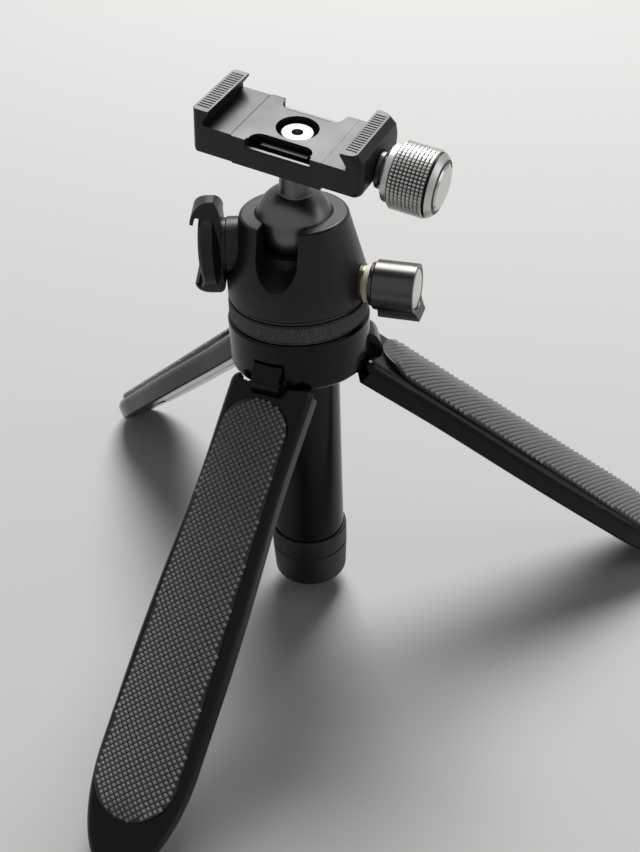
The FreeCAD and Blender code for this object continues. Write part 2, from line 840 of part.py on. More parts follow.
def upper_seat():
    outer = seat_bore_radius - ball_clearance
    top = ball_z + seat_bore_over_ball - ball_clearance
    ring = tube(outer, ball_radius - upper_seat_reach, ball_z - upper_seat_under_ball, top)
    ring = ring.cut(Part.makeSphere(ball_seat_radius, vec(0, 0, ball_z)))
    return ring.cut(drop_slot())


def lower_cup():
    outer = seat_bore_radius - ball_clearance
    ring = tube(outer, cup_hole_radius, cup_bottom_z, ball_z - cup_top_under_ball)
    ring = ring.cut(Part.makeSphere(ball_seat_radius, vec(0, 0, ball_z)))
    notch_radius = pressure_pad_radius + running_gap
    start = cup_hole_radius - cut_margin
    end = seat_bore_radius + cut_margin
    return ring.cut(radial_bore(notch_radius, start, end, main_lock_z, main_lock_azimuth))


def bearing_ring():
    bore = spigot_radius + spigot_clearance
    ring = tube(bearing_ring_radius, bore, housing_bottom_z, spigot_top_z - retainer_gap)
    hole = pan_tip_radius + thread_clearance
    return ring.cut(radial_bore(hole, spigot_radius, pan_bore_radius, pan_lock_z, pan_lock_azimuth))


# Main lock: drawn along +X at its own height, with the wings up and down

def on_main_lock(shape):
    return around(raised(shape, main_lock_z), main_lock_azimuth)


def pressure_pad():
    start = ball_radius - pressure_pad_lead
    pad = rod(pressure_pad_radius, vec(start, 0, 0), x_axis, pressure_pad_end - start)
    ball = Part.makeSphere(ball_seat_radius, vec(0, 0, main_lock_under_ball))
    return on_main_lock(pad.cut(ball))


def lock_bush():
    bore = lock_screw_radius + thread_clearance
    bush = turned_x(
        (lock_bush_start, bore), (lock_bush_end, bore),
        (lock_bush_end, lock_bush_radius), (lock_bush_start, lock_bush_radius),
    )
    return on_main_lock(bush)


def wing_profile():
    """Side view of both wings: a plate that sweeps outward and hooks over at its tips."""
    back = lock_hub_start + wing_back_gap
    face = lock_face - fine_edge
    tip = wing_tip
    waist = wing_waist
    nose = waist + wing_nose
    crest_x = tip - wing_lip
    inner_x = tip - 2 * wing_lip
    upper = [
        (back + wing_back_bow, waist + wing_rise, back + wing_back_curl, wing_reach),
        (back + wing_curl, wing_reach),
        (crest_x, waist + wing_curl, tip, nose),
        (crest_x, waist + wing_nose / 2),
        (inner_x, waist + wing_hollow, face, waist + wing_lip),
    ]
    lower = [
        (inner_x, -waist - wing_hollow, crest_x, -waist - wing_nose / 2),
        (tip, -nose),
        (crest_x, -waist - wing_curl, back + wing_curl, -wing_reach),
        (back + wing_back_curl, -wing_reach),
        (back + wing_back_bow, -waist - wing_rise, back, -waist),
    ]
    return outline((back, waist), *upper, (face, -waist - wing_lip), *lower)


def main_lock_knob():
    start = lock_hub_start
    neck_end = start + lock_neck_length
    r = lock_hub_radius
    hub = turned_x(
        (start, lock_screw_radius), (start, lock_neck_radius), (neck_end, lock_neck_radius),
        (neck_end + lock_cone_length, r),
        (lock_face - fine_edge, r), (lock_face, r - fine_edge), (lock_face, lock_screw_radius),
    )
    wings = slab(wing_profile(), wing_half_width)
    plan = Part.Ellipse(vec(0, 0, 0), wing_reach + plan_margin, wing_half_width)
    plan = Part.Face(Part.Wire(plan.toShape()))
    plan.rotate(vec(0, 0, 0), y_axis, 90)
    plan.translate(vec(start - cut_margin, 0, 0))
    length = wing_tip - start + 2 * cut_margin
    wings = wings.common(plan.extrude(vec(length, 0, 0)))
    wings = wings.cut(rod(lock_screw_radius, vec(start - cut_margin, 0, 0), x_axis, length))
    return on_main_lock(fuse(hub, wings))


def main_lock_cover():
    end = lock_face + lock_cover_thickness
    r = lock_hub_radius - lock_cover_inset
    cover = turned_x(
        (lock_face, 0), (lock_face, r), (end - small_chamfer, r), (end, r - fine_edge), (end, 0)
    )
    return on_main_lock(cover)


def main_lock_screw():
    start = vec(lock_screw_start, 0, 0)
    return on_main_lock(rod(lock_screw_radius, start, x_axis, lock_face - lock_screw_start))


# Pan lock: drawn along +X at its own height, with the tab hanging down

def on_pan_lock(shape):
    return around(raised(shape, pan_lock_z), pan_lock_azimuth)


def pan_tip():
    start = spigot_radius + spigot_clearance
    return on_pan_lock(rod(pan_tip_radius, vec(start, 0, 0), x_axis, pan_tip_end - start))


def pan_screw():
    start = vec(pan_tip_end, 0, 0)
    return on_pan_lock(rod(pan_screw_radius, start, x_axis, pan_disc_seat - pan_tip_end))


def brass_ring():
    ring = turned_x(
        (pan_boss_end, pan_bush_bore), (brass_ring_end, pan_bush_bore),
        (brass_ring_end, pan_boss_radius), (pan_boss_end, pan_boss_radius),
    )
    return on_pan_lock(ring)


def pan_bush():
    ring = turned_x(
        (brass_ring_end, pan_bush_bore), (pan_bush_end, pan_bush_bore),
        (pan_bush_end, pan_bush_radius - pan_bush_edge),
        (pan_bush_end - pan_bush_edge, pan_bush_radius), (brass_ring_end, pan_bush_radius),
    )
    return on_pan_lock(ring)


def pan_knob():
    """Barrel and tab in one piece, its outer end cut at a slant so that the tab side is longer."""
    collar_end = pan_knob_start + pan_collar_length
    r = pan_barrel_radius
    barrel = turned_x(
        (pan_knob_start, pan_screw_radius), (pan_knob_start, pan_collar_radius),
        (collar_end, pan_collar_radius), (collar_end, r - pan_barrel_edge),
        (collar_end + pan_barrel_edge, r), (tab_end, r), (tab_end, pan_screw_radius),
    )
    side = block((tab_start, -tab_half_width, -tab_reach), (tab_end, tab_half_width, 0))
    corners = [e for e in side.Edges if abs(e.CenterOfMass.z + tab_reach) < tiny]
    side = side.makeFillet(tab_round, corners)
    root = r * tab_web_root
    heel = tab_half_width * tab_web_root
    foot = tab_reach - tab_web_gap
    web = Part.makePolygon([
        vec(tab_start, -root, 0), vec(tab_start, root, 0), vec(tab_start, heel, -foot),
        vec(tab_start, -heel, -foot), vec(tab_start, -root, 0),
    ])
    web = Part.Face(web).extrude(vec(tab_end - tab_start, 0, 0))
    body = fuse(barrel, side, web)
    body = body.cut(rod(pan_screw_radius, vec(pan_knob_start, 0, 0), x_axis, tab_end))
    beyond = tab_end + tab_overhang
    slant_start = 2 * pan_face_inset - pan_barrel_radius
    slant = outline(
        (pan_barrel_end, slant_start), (tab_end, -tab_reach), (beyond, -tab_reach),
        (beyond, tab_reach), (pan_barrel_end, tab_reach),
    )
    body = body.cut(slab(slant, tab_reach))
    seat = rod(pan_barrel_radius - pan_face_inset, vec(pan_disc_seat, 0, 0), x_axis, tab_reach)
    return on_pan_lock(body.cut(seat))


def pan_knob_disc():
    end = pan_barrel_end
    r = pan_barrel_radius - pan_face_inset
    disc = turned_x(
        (pan_disc_seat, 0), (pan_disc_seat, r), (end - small_chamfer, r), (end, r - fine_edge), (end, 0)
    )
    return on_pan_lock(disc)


# Ball and clamp: drawn in the head's own frame

def in_head(shape):
    return moved(shape, head_place)


def ball_and_stem():
    ball = Part.makeSphere(ball_radius)
    stem = rod(stem_radius, vec(0, 0, 0), z_axis, stem_top)
    start = clamp_screw_end - cut_margin
    drill = rod(clamp_screw_radius + stem_fit, vec(0, 0, start), z_axis, stem_top)
    return in_head(fuse(ball, stem).cut(drill))


def lip_profile(lip, side, top_outer):
    """Points of a jaw's inner side from its top to the bed; side is +1 for the jaw at +X."""
    foot = lip + side * undercut
    return (
        (top_outer, jaw_top), (lip, jaw_top), (lip, jaw_top - lip_land),
        (foot, clamp_bed + undercut_height), (foot, clamp_bed),
    )


def pocket(side):
    """Finger pocket in one long edge of the body, with a ledge and an outer lip left standing."""
    outer = clamp_mid_half_width
    lip_inner = outer - pocket_lip_width
    hollow = block((pocket_left, pocket_back, pocket_floor), (pocket_right, lip_inner, jaw_top))
    corners = [
        e for e in hollow.Edges
        if abs(e.CenterOfMass.y - pocket_back) < tiny and e.BoundBox.ZLength > pocket_depth
    ]
    hollow = hollow.makeFillet(pocket_corner, corners)
    ledge_back = pocket_back + pocket_ledge_setback
    ledge = block(
        (pocket_left + pocket_corner, ledge_back, pocket_floor),
        (pocket_right - pocket_corner / 2, ledge_back + pocket_ledge_width, clamp_bed - pocket_ledge_depth),
    )
    hollow = hollow.cut(ledge)
    lip_top = clamp_bed - pocket_lip_depth
    lip = outline(
        (lip_inner - tiny, lip_top), (outer - small_chamfer, lip_top),
        (outer + small_chamfer, lip_top - pocket_lip_slope), (outer + small_chamfer, jaw_top),
        (lip_inner - tiny, jaw_top),
    )
    lip.rotate(vec(0, 0, 0), z_axis, 90)
    lip.translate(vec(pocket_left - pocket_end_margin, 0, 0))
    gap = lip.extrude(vec(pocket_right - pocket_left + 2 * pocket_end_margin, 0, 0))
    both = fuse(hollow, gap)
    if side < 0:
        both = both.mirror(vec(0, 0, 0), y_axis)
    return both


def ribs(left, right):
    """Shallow grooves across a jaw's top, evenly spaced between its plain borders."""
    grooves = []
    count = int((clamp_half_width - rib_border) / rib_pitch)
    for number in range(-count, count + 1):
        middle = number * rib_pitch
        low = (left, middle - rib_pitch / 4, jaw_top - rib_depth)
        high = (right, middle + rib_pitch / 4, jaw_top + rib_depth)
        grooves.append(block(low, high))
    return grooves


def upright_edges(solid, x_from, x_to):
    """Edges of a clamp piece that stand along its outer corners, between two distances along it."""
    return [
        e for e in solid.Edges
        if x_from < e.CenterOfMass.x < x_to and e.BoundBox.YLength < tiny and e.BoundBox.ZLength > 1
    ]


def clamp_body():
    left = clamp_left
    outer = fixed_lip - jaw_top_width
    fixed = slab(outline(
        (left + clamp_lower_chamfer, clamp_bottom), (clamp_step, clamp_bottom), (clamp_step, clamp_bed),
        *reversed(lip_profile(fixed_lip, -1, outer)),
        (left, jaw_top - jaw_edge), (left, clamp_bottom + clamp_lower_chamfer),
    ), clamp_half_width)
    fixed = fixed.makeFillet(clamp_corner_radius, upright_edges(fixed, left - tiny, left + tiny))
    low = (clamp_step, -clamp_mid_half_width, clamp_bottom)
    middle = block(low, (parting, clamp_mid_half_width, clamp_bed))
    step_edges = upright_edges(middle, clamp_step - tiny, clamp_step + tiny)
    middle = middle.makeChamfer(clamp_mid_half_width - clamp_half_width - tiny, step_edges)
    rod_bore = rod_radius + thread_clearance
    cuts = [
        pocket(1), pocket(-1),
        rod(counterbore_radius, vec(0, 0, counterbore_floor), z_axis, clamp_bed),
        rod(clamp_screw_radius, vec(0, 0, clamp_bottom - cut_margin), z_axis, clamp_bed),
        rod(stem_radius + stem_fit, vec(0, 0, 0), z_axis, stem_top),
        rod(rod_bore, vec(rod_start - small_chamfer, 0, rod_height), x_axis, jaw_right),
        block(
            (clamp_step - scribed_line_width, -clamp_mid_half_width, clamp_bed - scribed_line_depth),
            (clamp_step, clamp_mid_half_width, clamp_bed + fine_edge),
        ),
    ]
    for y in (-guide_pin_offset, guide_pin_offset):
        place = vec(guide_pin_start, y, guide_pin_height)
        cuts.append(rod(guide_pin_radius, place, x_axis, jaw_right))
    cuts.extend(ribs(outer + jaw_edge, fixed_lip - jaw_edge))
    return in_head(fuse(fixed, middle).cut(cuts))


def moving_jaw():
    inner = parting + parting_gap
    right = jaw_right
    k = jaw_corner_radius
    inset = k * arc_inset
    top_outer = moving_lip + jaw_top_width - fine_edge
    body = slab(outline(
        (inner, clamp_bottom), (right - k, clamp_bottom),
        (right - inset, clamp_bottom + inset, right, clamp_bottom + k),
        (right, clamp_bed), (right - jaw_edge, jaw_top - jaw_slope_height),
        *lip_profile(moving_lip, 1, top_outer), (inner, clamp_bed),
    ), clamp_mid_half_width)
    corners = upright_edges(body, moving_lip + undercut + fine_edge, right + tiny)
    body = body.makeFillet(jaw_plan_radius, corners)
    spring_hole = spring_outer + thread_clearance
    spring_hole_end = inner + spring_length + running_gap
    cuts = [
        rod(rod_radius + thread_clearance, vec(0, 0, rod_height), x_axis, right + cut_margin),
        rod(spring_hole, vec(0, 0, rod_height), x_axis, spring_hole_end),
    ]
    for y in (-guide_pin_offset, guide_pin_offset):
        place = vec(0, y, guide_pin_height)
        reach = guide_pin_end + guide_pin_end_gap
        cuts.append(rod(guide_pin_radius + thread_clearance, place, x_axis, reach))
    cuts.extend(ribs(moving_lip + fine_edge, top_outer - fine_edge))
    return in_head(body.cut(cuts))


def on_rod(shape):
    """Places a piece that was turned about X on the clamp's rod."""
    return in_head(raised(shape, rod_height))


def jaw_collar():
    bore = rod_radius + thread_clearance
    return on_rod(turned_x(
        (jaw_right, bore), (jaw_right, collar_radius - small_chamfer),
        (jaw_right + small_chamfer, collar_radius), (collar_step, collar_radius),
        (collar_step, collar_neck_radius), (collar_end, collar_neck_radius), (collar_end, bore),
    ))


def jaw_spring():
    start = parting + parting_gap
    end = parting + spring_length
    return on_rod(turned_x(
        (start, spring_inner), (end, spring_inner), (end, spring_outer), (start, spring_outer)
    ))


def guide_pins():
    length = guide_pin_end - guide_pin_start
    places = [vec(guide_pin_start, y, guide_pin_height) for y in (-guide_pin_offset, guide_pin_offset)]
    return in_head(Part.makeCompound([rod(guide_pin_radius, p, x_axis, length) for p in places]))


def clamp_screw():
    top = clamp_screw_head_top
    r = clamp_screw_head_radius
    screw = turned(
        (0, clamp_screw_end), (clamp_screw_radius, clamp_screw_end), (clamp_screw_radius, screw_seat),
        (r, screw_seat), (r, top - fine_edge), (r - fine_edge, top), (0, top),
    )
    return in_head(screw.cut(rod(socket_radius, vec(0, 0, top - socket_depth), z_axis, top)))


def clamp_washer():
    outer = clamp_screw_head_radius + clamp_washer_overlap
    return in_head(tube(outer, clamp_screw_radius, counterbore_floor, screw_seat))


def clamp_rod():
    return on_rod(rod(rod_radius, vec(rod_start, 0, 0), x_axis, knob_disc_seat - rod_start))


def clamp_knob():
    r = knob_radius
    flange_end = knob_start + knob_flange_length
    return on_rod(turned_x(
        (knob_start, rod_radius), (knob_start, knob_flange_radius - knob_flange_edge),
        (knob_start + knob_flange_edge, knob_flange_radius), (flange_end, knob_flange_radius),
        (flange_end + knob_shoulder, r), (knob_end - knob_front_chamfer, r),
        (knob_end, r - knob_front_chamfer), (knob_end, knob_disc_radius),
        (knob_disc_seat, knob_disc_radius), (knob_disc_seat, rod_radius),
    ))


def clamp_knob_disc():
    end = knob_end + knob_disc_proud
    r = knob_disc_radius
    return on_rod(turned_x(
        (knob_disc_seat, 0), (knob_disc_seat, r), (end - knob_disc_edge, r),
        (end, r - fine_edge), (end, 0),
    ))


pieces = {
    "crown": crown(),
    "column_outer_tube": tube(tube_radius, tube_bore, ring_z - tube_bottom_drop, collet_bottom_z),
    "column_end_cap": end_cap(),
    "column_collet": collet(),
    "lock_ring": lock_ring(),
    "column_inner_tube": tube(
        inner_tube_radius, inner_tube_radius - inner_tube_wall, inner_tube_bottom_z, pan_disc_z
    ),
    "column_guide_bush": tube(
        tube_bore - guide_bush_clearance, inner_tube_radius,
        inner_tube_bottom_z, inner_tube_bottom_z + guide_bush_length,
    ),
    "column_top_plug": tube(
        inner_tube_radius - inner_tube_wall, centre_screw_radius, pan_disc_z - top_plug_length, pan_disc_z
    ),
    "pan_base": pan_base(),
    "pan_retainer": tube(retainer_radius, centre_screw_radius, spigot_top_z, retainer_top_z),
    "pan_centre_screw": centre_screw(),
    "pan_bearing_ring": bearing_ring(),
    "head_housing": housing(),
    "ball_seat_upper": upper_seat(),
    "ball_cup_lower": lower_cup(),
    "ball_wave_spring": wave_spring(),
    "ball_pressure_pad": pressure_pad(),
    "main_lock_bush": lock_bush(),
    "main_lock_knob": main_lock_knob(),
    "main_lock_cover": main_lock_cover(),
    "main_lock_screw": main_lock_screw(),
    "pan_brass_ring": brass_ring(),
    "pan_lock_bush": pan_bush(),
    "pan_lock_tip": pan_tip(),
    "pan_lock_screw": pan_screw(),
    "pan_lock_knob": pan_knob(),
    "pan_knob_disc": pan_knob_disc(),
    "ball_and_stem": ball_and_stem(),
    "clamp_body": clamp_body(),
    "clamp_screw": clamp_screw(),
    "clamp_screw_washer": clamp_washer(),
    "jaw_guide_pins": guide_pins(),
    "jaw_spring": jaw_spring(),
    "moving_jaw": moving_jaw(),
    "jaw_collar": jaw_collar(),
    "clamp_rod": clamp_rod(),
    "clamp_knob": clamp_knob(),
    "clamp_knob_disc": clamp_knob_disc(),
}

leg_body, leg_pad, leg_sole = leg_solids()
pins = []
washers = []
for number in range(leg_count):
    azimuth = 360 / leg_count * number
    name = str(number + 1)
    pieces["leg_" + name] = around(leg_body, azimuth)
    pieces["leg_pad_" + name] = around(leg_pad, azimuth)
    pieces["leg_sole_" + name] = around(leg_sole, azimuth)
    pins.append(around(hinge_pin(), azimuth))
    washers.extend([around(w, azimuth) for w in hinge_washers()])
pieces["leg_hinge_pins"] = Part.makeCompound(pins)
pieces["leg_washers"] = Part.makeCompound(washers)

os.makedirs("parts", exist_ok=True)
for name, shape in pieces.items():
    shape.exportStep("parts/" + name + ".step")
    valid = shape.isValid()
    print(f"{name:20s} solids {len(shape.Solids)} volume {shape.Volume:9.1f} valid {valid}")
stem = head_turn.multVec(z_axis)
print("lock ring height", round(ring_z, 3), "ball centre height", round(ball_z, 3))
print("pivot", pivot, "folded face radius", round(folded_face_radius, 3))
print("stem direction", stem)
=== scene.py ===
"""Looks of the mini tripod with ball head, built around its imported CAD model. All lengths are in metres."""

import json
import math

import bmesh
import bpy
from mathutils import Matrix, Vector

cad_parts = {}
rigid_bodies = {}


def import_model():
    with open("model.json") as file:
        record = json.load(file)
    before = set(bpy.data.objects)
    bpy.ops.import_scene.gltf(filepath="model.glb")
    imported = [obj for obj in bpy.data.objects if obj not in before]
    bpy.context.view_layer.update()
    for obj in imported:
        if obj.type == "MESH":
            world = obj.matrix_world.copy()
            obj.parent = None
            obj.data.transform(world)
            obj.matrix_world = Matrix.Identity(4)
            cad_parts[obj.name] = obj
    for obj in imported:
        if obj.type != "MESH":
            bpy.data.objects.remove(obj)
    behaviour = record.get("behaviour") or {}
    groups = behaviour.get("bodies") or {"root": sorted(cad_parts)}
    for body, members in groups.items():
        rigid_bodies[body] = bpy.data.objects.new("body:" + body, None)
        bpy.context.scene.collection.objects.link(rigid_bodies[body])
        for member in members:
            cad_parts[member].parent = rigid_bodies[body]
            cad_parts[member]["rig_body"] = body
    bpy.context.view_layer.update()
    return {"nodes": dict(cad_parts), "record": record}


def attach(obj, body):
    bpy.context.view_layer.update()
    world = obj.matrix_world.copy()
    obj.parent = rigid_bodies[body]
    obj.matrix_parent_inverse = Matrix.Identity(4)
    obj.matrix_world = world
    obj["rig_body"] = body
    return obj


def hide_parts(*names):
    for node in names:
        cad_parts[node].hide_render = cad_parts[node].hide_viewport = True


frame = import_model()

bl_info = {
    "name": "Mini tripod",
    "version": (1, 0, 0),
    "blender": (4, 5, 0),
    "location": "3D view > Sidebar > Mini tripod",
    "description": "Finishes, pads, knurls and knobs of a small tripod with a ball head",
    "category": "Object",
}

MM = 0.001

# Places of the CAD model
RING_Z = 104.834 * MM
LEAN_TOWARDS = math.radians(-71.1)
LEAN_AXIS = Vector((-math.sin(LEAN_TOWARDS), math.cos(LEAN_TOWARDS), 0))
HEAD = (
    Matrix.Translation((0, 0, 133.074 * MM)) @ Matrix.Rotation(math.radians(10.65), 4, LEAN_AXIS)
    @ Matrix.Rotation(math.radians(-30.78), 4, "Z")
)
ROD = HEAD @ Matrix.Translation((0, 0, 24.5 * MM)) @ Matrix.Rotation(math.pi / 2, 4, "Y")
LEG = Matrix.Translation((20 * MM, 0, 93.2839 * MM)) @ Matrix.Rotation(math.radians(39.2), 4, "Y")
LEG_BODIES = ("first_leg", "second_leg", "third_leg")
PAD_START = 6.0 * MM
PAD_END = 125.0 * MM
PAD_HALF_WIDTH = 12.2 * MM
PAN_LOCK = (
    Matrix.Translation((0, 0, 116.284 * MM)) @ Matrix.Rotation(math.radians(-22), 4, "Z")
    @ Matrix.Rotation(math.pi / 2, 4, "Y")
)

# The clamp's forms, in millimetres from the ball's centre, Z up the stem and X along the clamp
JAW_TOP_FROM = 33.42            # a face whose middle lies higher is a jaw's top
GROOVES_FROM = 33.2             # one between this height and that lies in the top's fine grooves
GROOVES_HALF_WIDTH = 10.5
STRIP_FROM = 33.1               # the grooved strips, with a little room round them
STRIP_HALF_WIDTH = 10.7
FIXED_STRIP = (-24.2, -20.6)
MOVING_STRIP = (17.5, 21.3)
POCKET_LIP_TOP = 26.8
POCKET_LIP_INNER = 8.0
POCKET_LIP_NEAR = 0.12
LEVEL = 0.9                     # a face that counts as level has a normal this steep

# The lock ring and the clamp knob, in millimetres along and out from their own axes
RING_RADIUS = 20.0
RING_CHAMFER_TOP = 0.64
RING_CHAMFER_INNER = 19.4
RING_KNURL = (0.8, 5.4)
KNOB_RADIUS = 8.85
KNOB_DOTS_FROM = 28.85
KNOB_DOTS_TO = 38.45
KNOB_BAND_END = 39.1            # black band between the dots and the front chamfer
KNOB_PAINTED_SHADE = (39.9, 7.1)       # height and radius of the painted shade round the end disc, a near-black ring in place of a groove

# What repeats on pads, ring and knob
STUD_SINK = 0.12 * MM           # how deep a pad's studs sit in its face
STUD_BOTTOM = 0.64              # a stud's radius at its foot, as a share of the pitch
STUD_TOP = 0.16                 # the radius of its top, as a share of that
RAY_START = 20 * MM             # height above a pad from which its studs are dropped
RAY_LENGTH = 100 * MM
KNURL_SINK = 0.05 * MM          # how deep diamonds and dots sit in their barrels
RING_DIAMOND = (0.48 * MM, 0.5 * MM, 1)
KNOB_DOT = 0.63                 # a dot's radius, as a share of the pitch

# Shares of the paler colour, from 0 to 1: painted light on all five, partly rubbing on the jaw tops
JAW_TOP_RUB_AND_PAINTED_LIGHT = 0.26
GROOVE_PAINTED_LIGHT = 1.0
LIP_PAINTED_HIGHLIGHT = 0.8
RING_CHAMFER_PAINTED_HIGHLIGHT = 0.6
RING_DIAMOND_PAINTED_HIGHLIGHT = 0.4

TURNED_SEGMENTS = 160           # of a turned piece's circles
TURNED_SHARP = math.radians(28)
EDGE_SHARP = math.radians(30)   # from which an edge of a machined piece is broken
LEG_EDGE_SHARP = math.radians(40)
MERGE_WITHIN = 0.001 * MM       # for the corners of a CAD node's loose triangles
FLAT_WITHIN = math.radians(0.3)

# The photograph's camera, fitted to its circles and straight edges, and what stands round the tripod
CAMERA_PLACE = Vector((-15.50, -299.95, 280.45)) * MM
CAMERA_FORWARD = Vector((0.0547, 0.8083, -0.5862))
CAMERA_ROLL = math.radians(-2.28)
FLOOR_HALF = 3.0
KEY_PLACE = Vector((0.24, 1.04, 1.52))
KEY_SIZE = 1.0
FILL_PLACE = Vector((0.75, -0.15, 0.35))
FILL_SIZE = 0.4
LAMPS_AIM = Vector((0, 0, 0.1))


# What a user would change

def plain_number(name, text, value, unit="NONE"):
    """A number as a setting."""
    return bpy.props.FloatProperty(name=name, description=text, default=value, unit=unit)


def whole_number(name, text, value):
    """A whole number as a setting."""
    return bpy.props.IntProperty(name=name, description=text, default=value)


def length(name, text, value):
    """A length as a setting."""
    return bpy.props.FloatProperty(
        name=name, description=text, default=value, min=0, subtype="DISTANCE", unit="LENGTH", precision=5
    )


def colour(name, text, value):
    """A colour as a setting."""
    return bpy.props.FloatVectorProperty(
        name=name, description=text, default=value, min=0, max=1, size=3, subtype="COLOR"
    )


class TripodFinish(bpy.types.PropertyGroup):
    """Colours of the tripod's finishes."""

    anodised: colour("Black anodising", "Clamp, housing, rings and main knob", (0.009, 0.009, 0.0095))
    gloss: colour("Gloss black", "Crown, legs and column", (0.004, 0.004, 0.0045))
    polymer: colour("Black plastic", "End cap and ball seats", (0.009, 0.009, 0.009))
    rubber: colour("Rubber", "Leg pads and soles", (0.007, 0.007, 0.0072))
    satin: colour("Satin silver", "Ball and stem", (0.16, 0.165, 0.16))
    bright: colour("Machined aluminium", "Clamp knob and end discs", (0.62, 0.62, 0.61))
    dark_metal: colour("Dark grey anodising", "Pan knob and clamp collar", (0.1, 0.097, 0.093))
    steel: colour("Plated steel", "Screws and pins", (0.17, 0.167, 0.155))
    brass: colour("Brass", "Ring and tip of the pan lock", (0.26, 0.19, 0.09))
    ivory: colour("Ivory nylon", "Bush of the pan lock", (0.74, 0.7, 0.58))


class TripodDetail(bpy.types.PropertyGroup):
    """Sizes of the tripod's fine detail."""

    edge: length("Edge", "Width of the broken edges of machined pieces", 0.22 * MM)
    stud_pitch: length("Stud pitch", "Distance between the studs of a leg pad", 1.36 * MM)
    stud_height: length("Stud height", "Height of a leg pad's studs", 0.55 * MM)
    stud_margin: length("Stud margin", "Plain rim round a leg pad's studs", 0.5 * MM)
    stud_turn: bpy.props.FloatProperty(
        name="Stud turn", description="Angle of the stud rows to the leg", subtype="ANGLE",
        default=math.radians(42),
    )
    ring_teeth: whole_number("Ring teeth", "Diamonds round the lock ring", 124)
    ring_rows: whole_number("Ring rows", "Rows of diamonds on the lock ring", 9)
    ring_depth: length("Ring knurl depth", "Height of the lock ring's diamonds", 0.24 * MM)
    knob_dots: whole_number("Knob dots", "Dots round the clamp knob", 56)
    knob_rows: whole_number("Knob rows", "Dots along the clamp knob", 9)
    knob_depth: length("Knob dot height", "Height of the clamp knob's dots", 0.38 * MM)


class TripodStudio(bpy.types.PropertyGroup):
    """Floor, lamps and camera."""

    floor: colour("Floor", "Colour of the floor", (0.62, 0.615, 0.605))
    backdrop: colour("Backdrop", "Colour of the even light and beyond the floor", (1.0, 0.995, 0.98))
    sky: plain_number("Ambient light", "Strength of the even light", 0.13)
    shown: plain_number("Backdrop strength", "Strength of the backdrop in view and in reflections", 0.5)
    key: plain_number("Key lamp", "Power of the softbox above and behind", 38, "POWER")
    fill: plain_number("Fill lamp", "Power of the softbox at the right", 0.5, "POWER")
    focal: plain_number("Focal length", "Lens, for a 36 mm frame", 50.7, "CAMERA")


# Node helpers

def add(tree, kind, inputs, **settings):
    """A node with its settings, and its inputs given as values or as sockets to link from."""
    item = tree.nodes.new(kind)
    for key, value in settings.items():
        setattr(item, key, value)
    for key, value in inputs.items():
        if isinstance(value, bpy.types.NodeSocket):
            tree.links.new(value, item.inputs[key])
        else:
            item.inputs[key].default_value = value
    return item


def calc(tree, operation, *values):
    """A sum or function of values and sockets, as a socket."""
    return add(tree, "ShaderNodeMath", dict(enumerate(values)), operation=operation).outputs[0]


def blended(tree, factor, first, second, kind="MIX"):
    """Mixes two colours, each a value or a socket."""
    values = {0: factor, 6: first, 7: second}
    return add(tree, "ShaderNodeMix", values, data_type="RGBA", blend_type=kind).outputs[2]


def group_tree(name, kind, inputs, outputs):
    """A node group with named sockets. Returns the tree and its input sockets by name."""
    tree = bpy.data.node_groups.new(name, kind)
    for label, socket_type, value in inputs:
        socket = tree.interface.new_socket(label, in_out="INPUT", socket_type=socket_type)
        if value is not None:
            socket.default_value = value
    for label, socket_type in outputs:
        tree.interface.new_socket(label, in_out="OUTPUT", socket_type=socket_type)
    return tree, tree.nodes.new("NodeGroupInput").outputs


def close_tree(tree, values):
    """Links what a node group gives out."""
    end = tree.nodes.new("NodeGroupOutput")
    for label, socket in values.items():
        tree.links.new(socket, end.inputs[label])


# Shared shader groups

FLOAT = "NodeSocketFloat"
VECTOR = "NodeSocketVector"
COLOUR = "NodeSocketColor"


def blasted_grain():
    """Fine bead-blasted grain and the slow cloudiness over it."""
    tree, given = group_tree(
        "Blasted grain", "ShaderNodeTree",
        [("Vector", VECTOR, None), ("Grain", FLOAT, 5000), ("Cloud", FLOAT, 70),
         ("Smoothest", FLOAT, 0.34), ("Roughest", FLOAT, 0.46)],
        [("Height", FLOAT), ("Roughness", FLOAT)],
    )
    fine = add(tree, "ShaderNodeTexNoise", {"Vector": given["Vector"], "Scale": given["Grain"], "Detail": 1})
    slow = add(tree, "ShaderNodeTexNoise", {"Vector": given["Vector"], "Scale": given["Cloud"], "Detail": 3})
    rough = add(tree, "ShaderNodeMapRange", {
        "Value": slow.outputs["Fac"], "From Min": 0.3, "From Max": 0.7,
        "To Min": given["Smoothest"], "To Max": given["Roughest"],
    })
    close_tree(tree, {"Height": fine.outputs["Fac"], "Roughness": rough.outputs[0]})
    return tree


def rub_and_painted_light_edge():
    """Colour that lightens on the faces that the attribute rub_and_painted_light marks, in patches: partly
    rubbing, partly painted highlight.
    """
    tree, given = group_tree(
        "Rub and painted light edge", "ShaderNodeTree",
        [("Colour", COLOUR, None), ("Rub and painted light Colour", COLOUR, None), ("Amount", FLOAT, 0.4),
         ("Vector", VECTOR, None)],
        [("Colour", COLOUR)],
    )
    marked = add(tree, "ShaderNodeAttribute", {}, attribute_name="rub_and_painted_light").outputs["Fac"]
    patches = add(tree, "ShaderNodeTexNoise", {"Vector": given["Vector"], "Scale": 900, "Detail": 3})
    broken = add(tree, "ShaderNodeMapRange", {
        "Value": patches.outputs["Fac"], "From Min": 0.2, "From Max": 0.42,
    })
    mask = calc(tree, "MULTIPLY", calc(tree, "MULTIPLY", marked, broken.outputs[0]), given["Amount"])
    close_tree(tree, {"Colour": blended(tree, mask, given["Colour"], given["Rub and painted light Colour"])})
    return tree


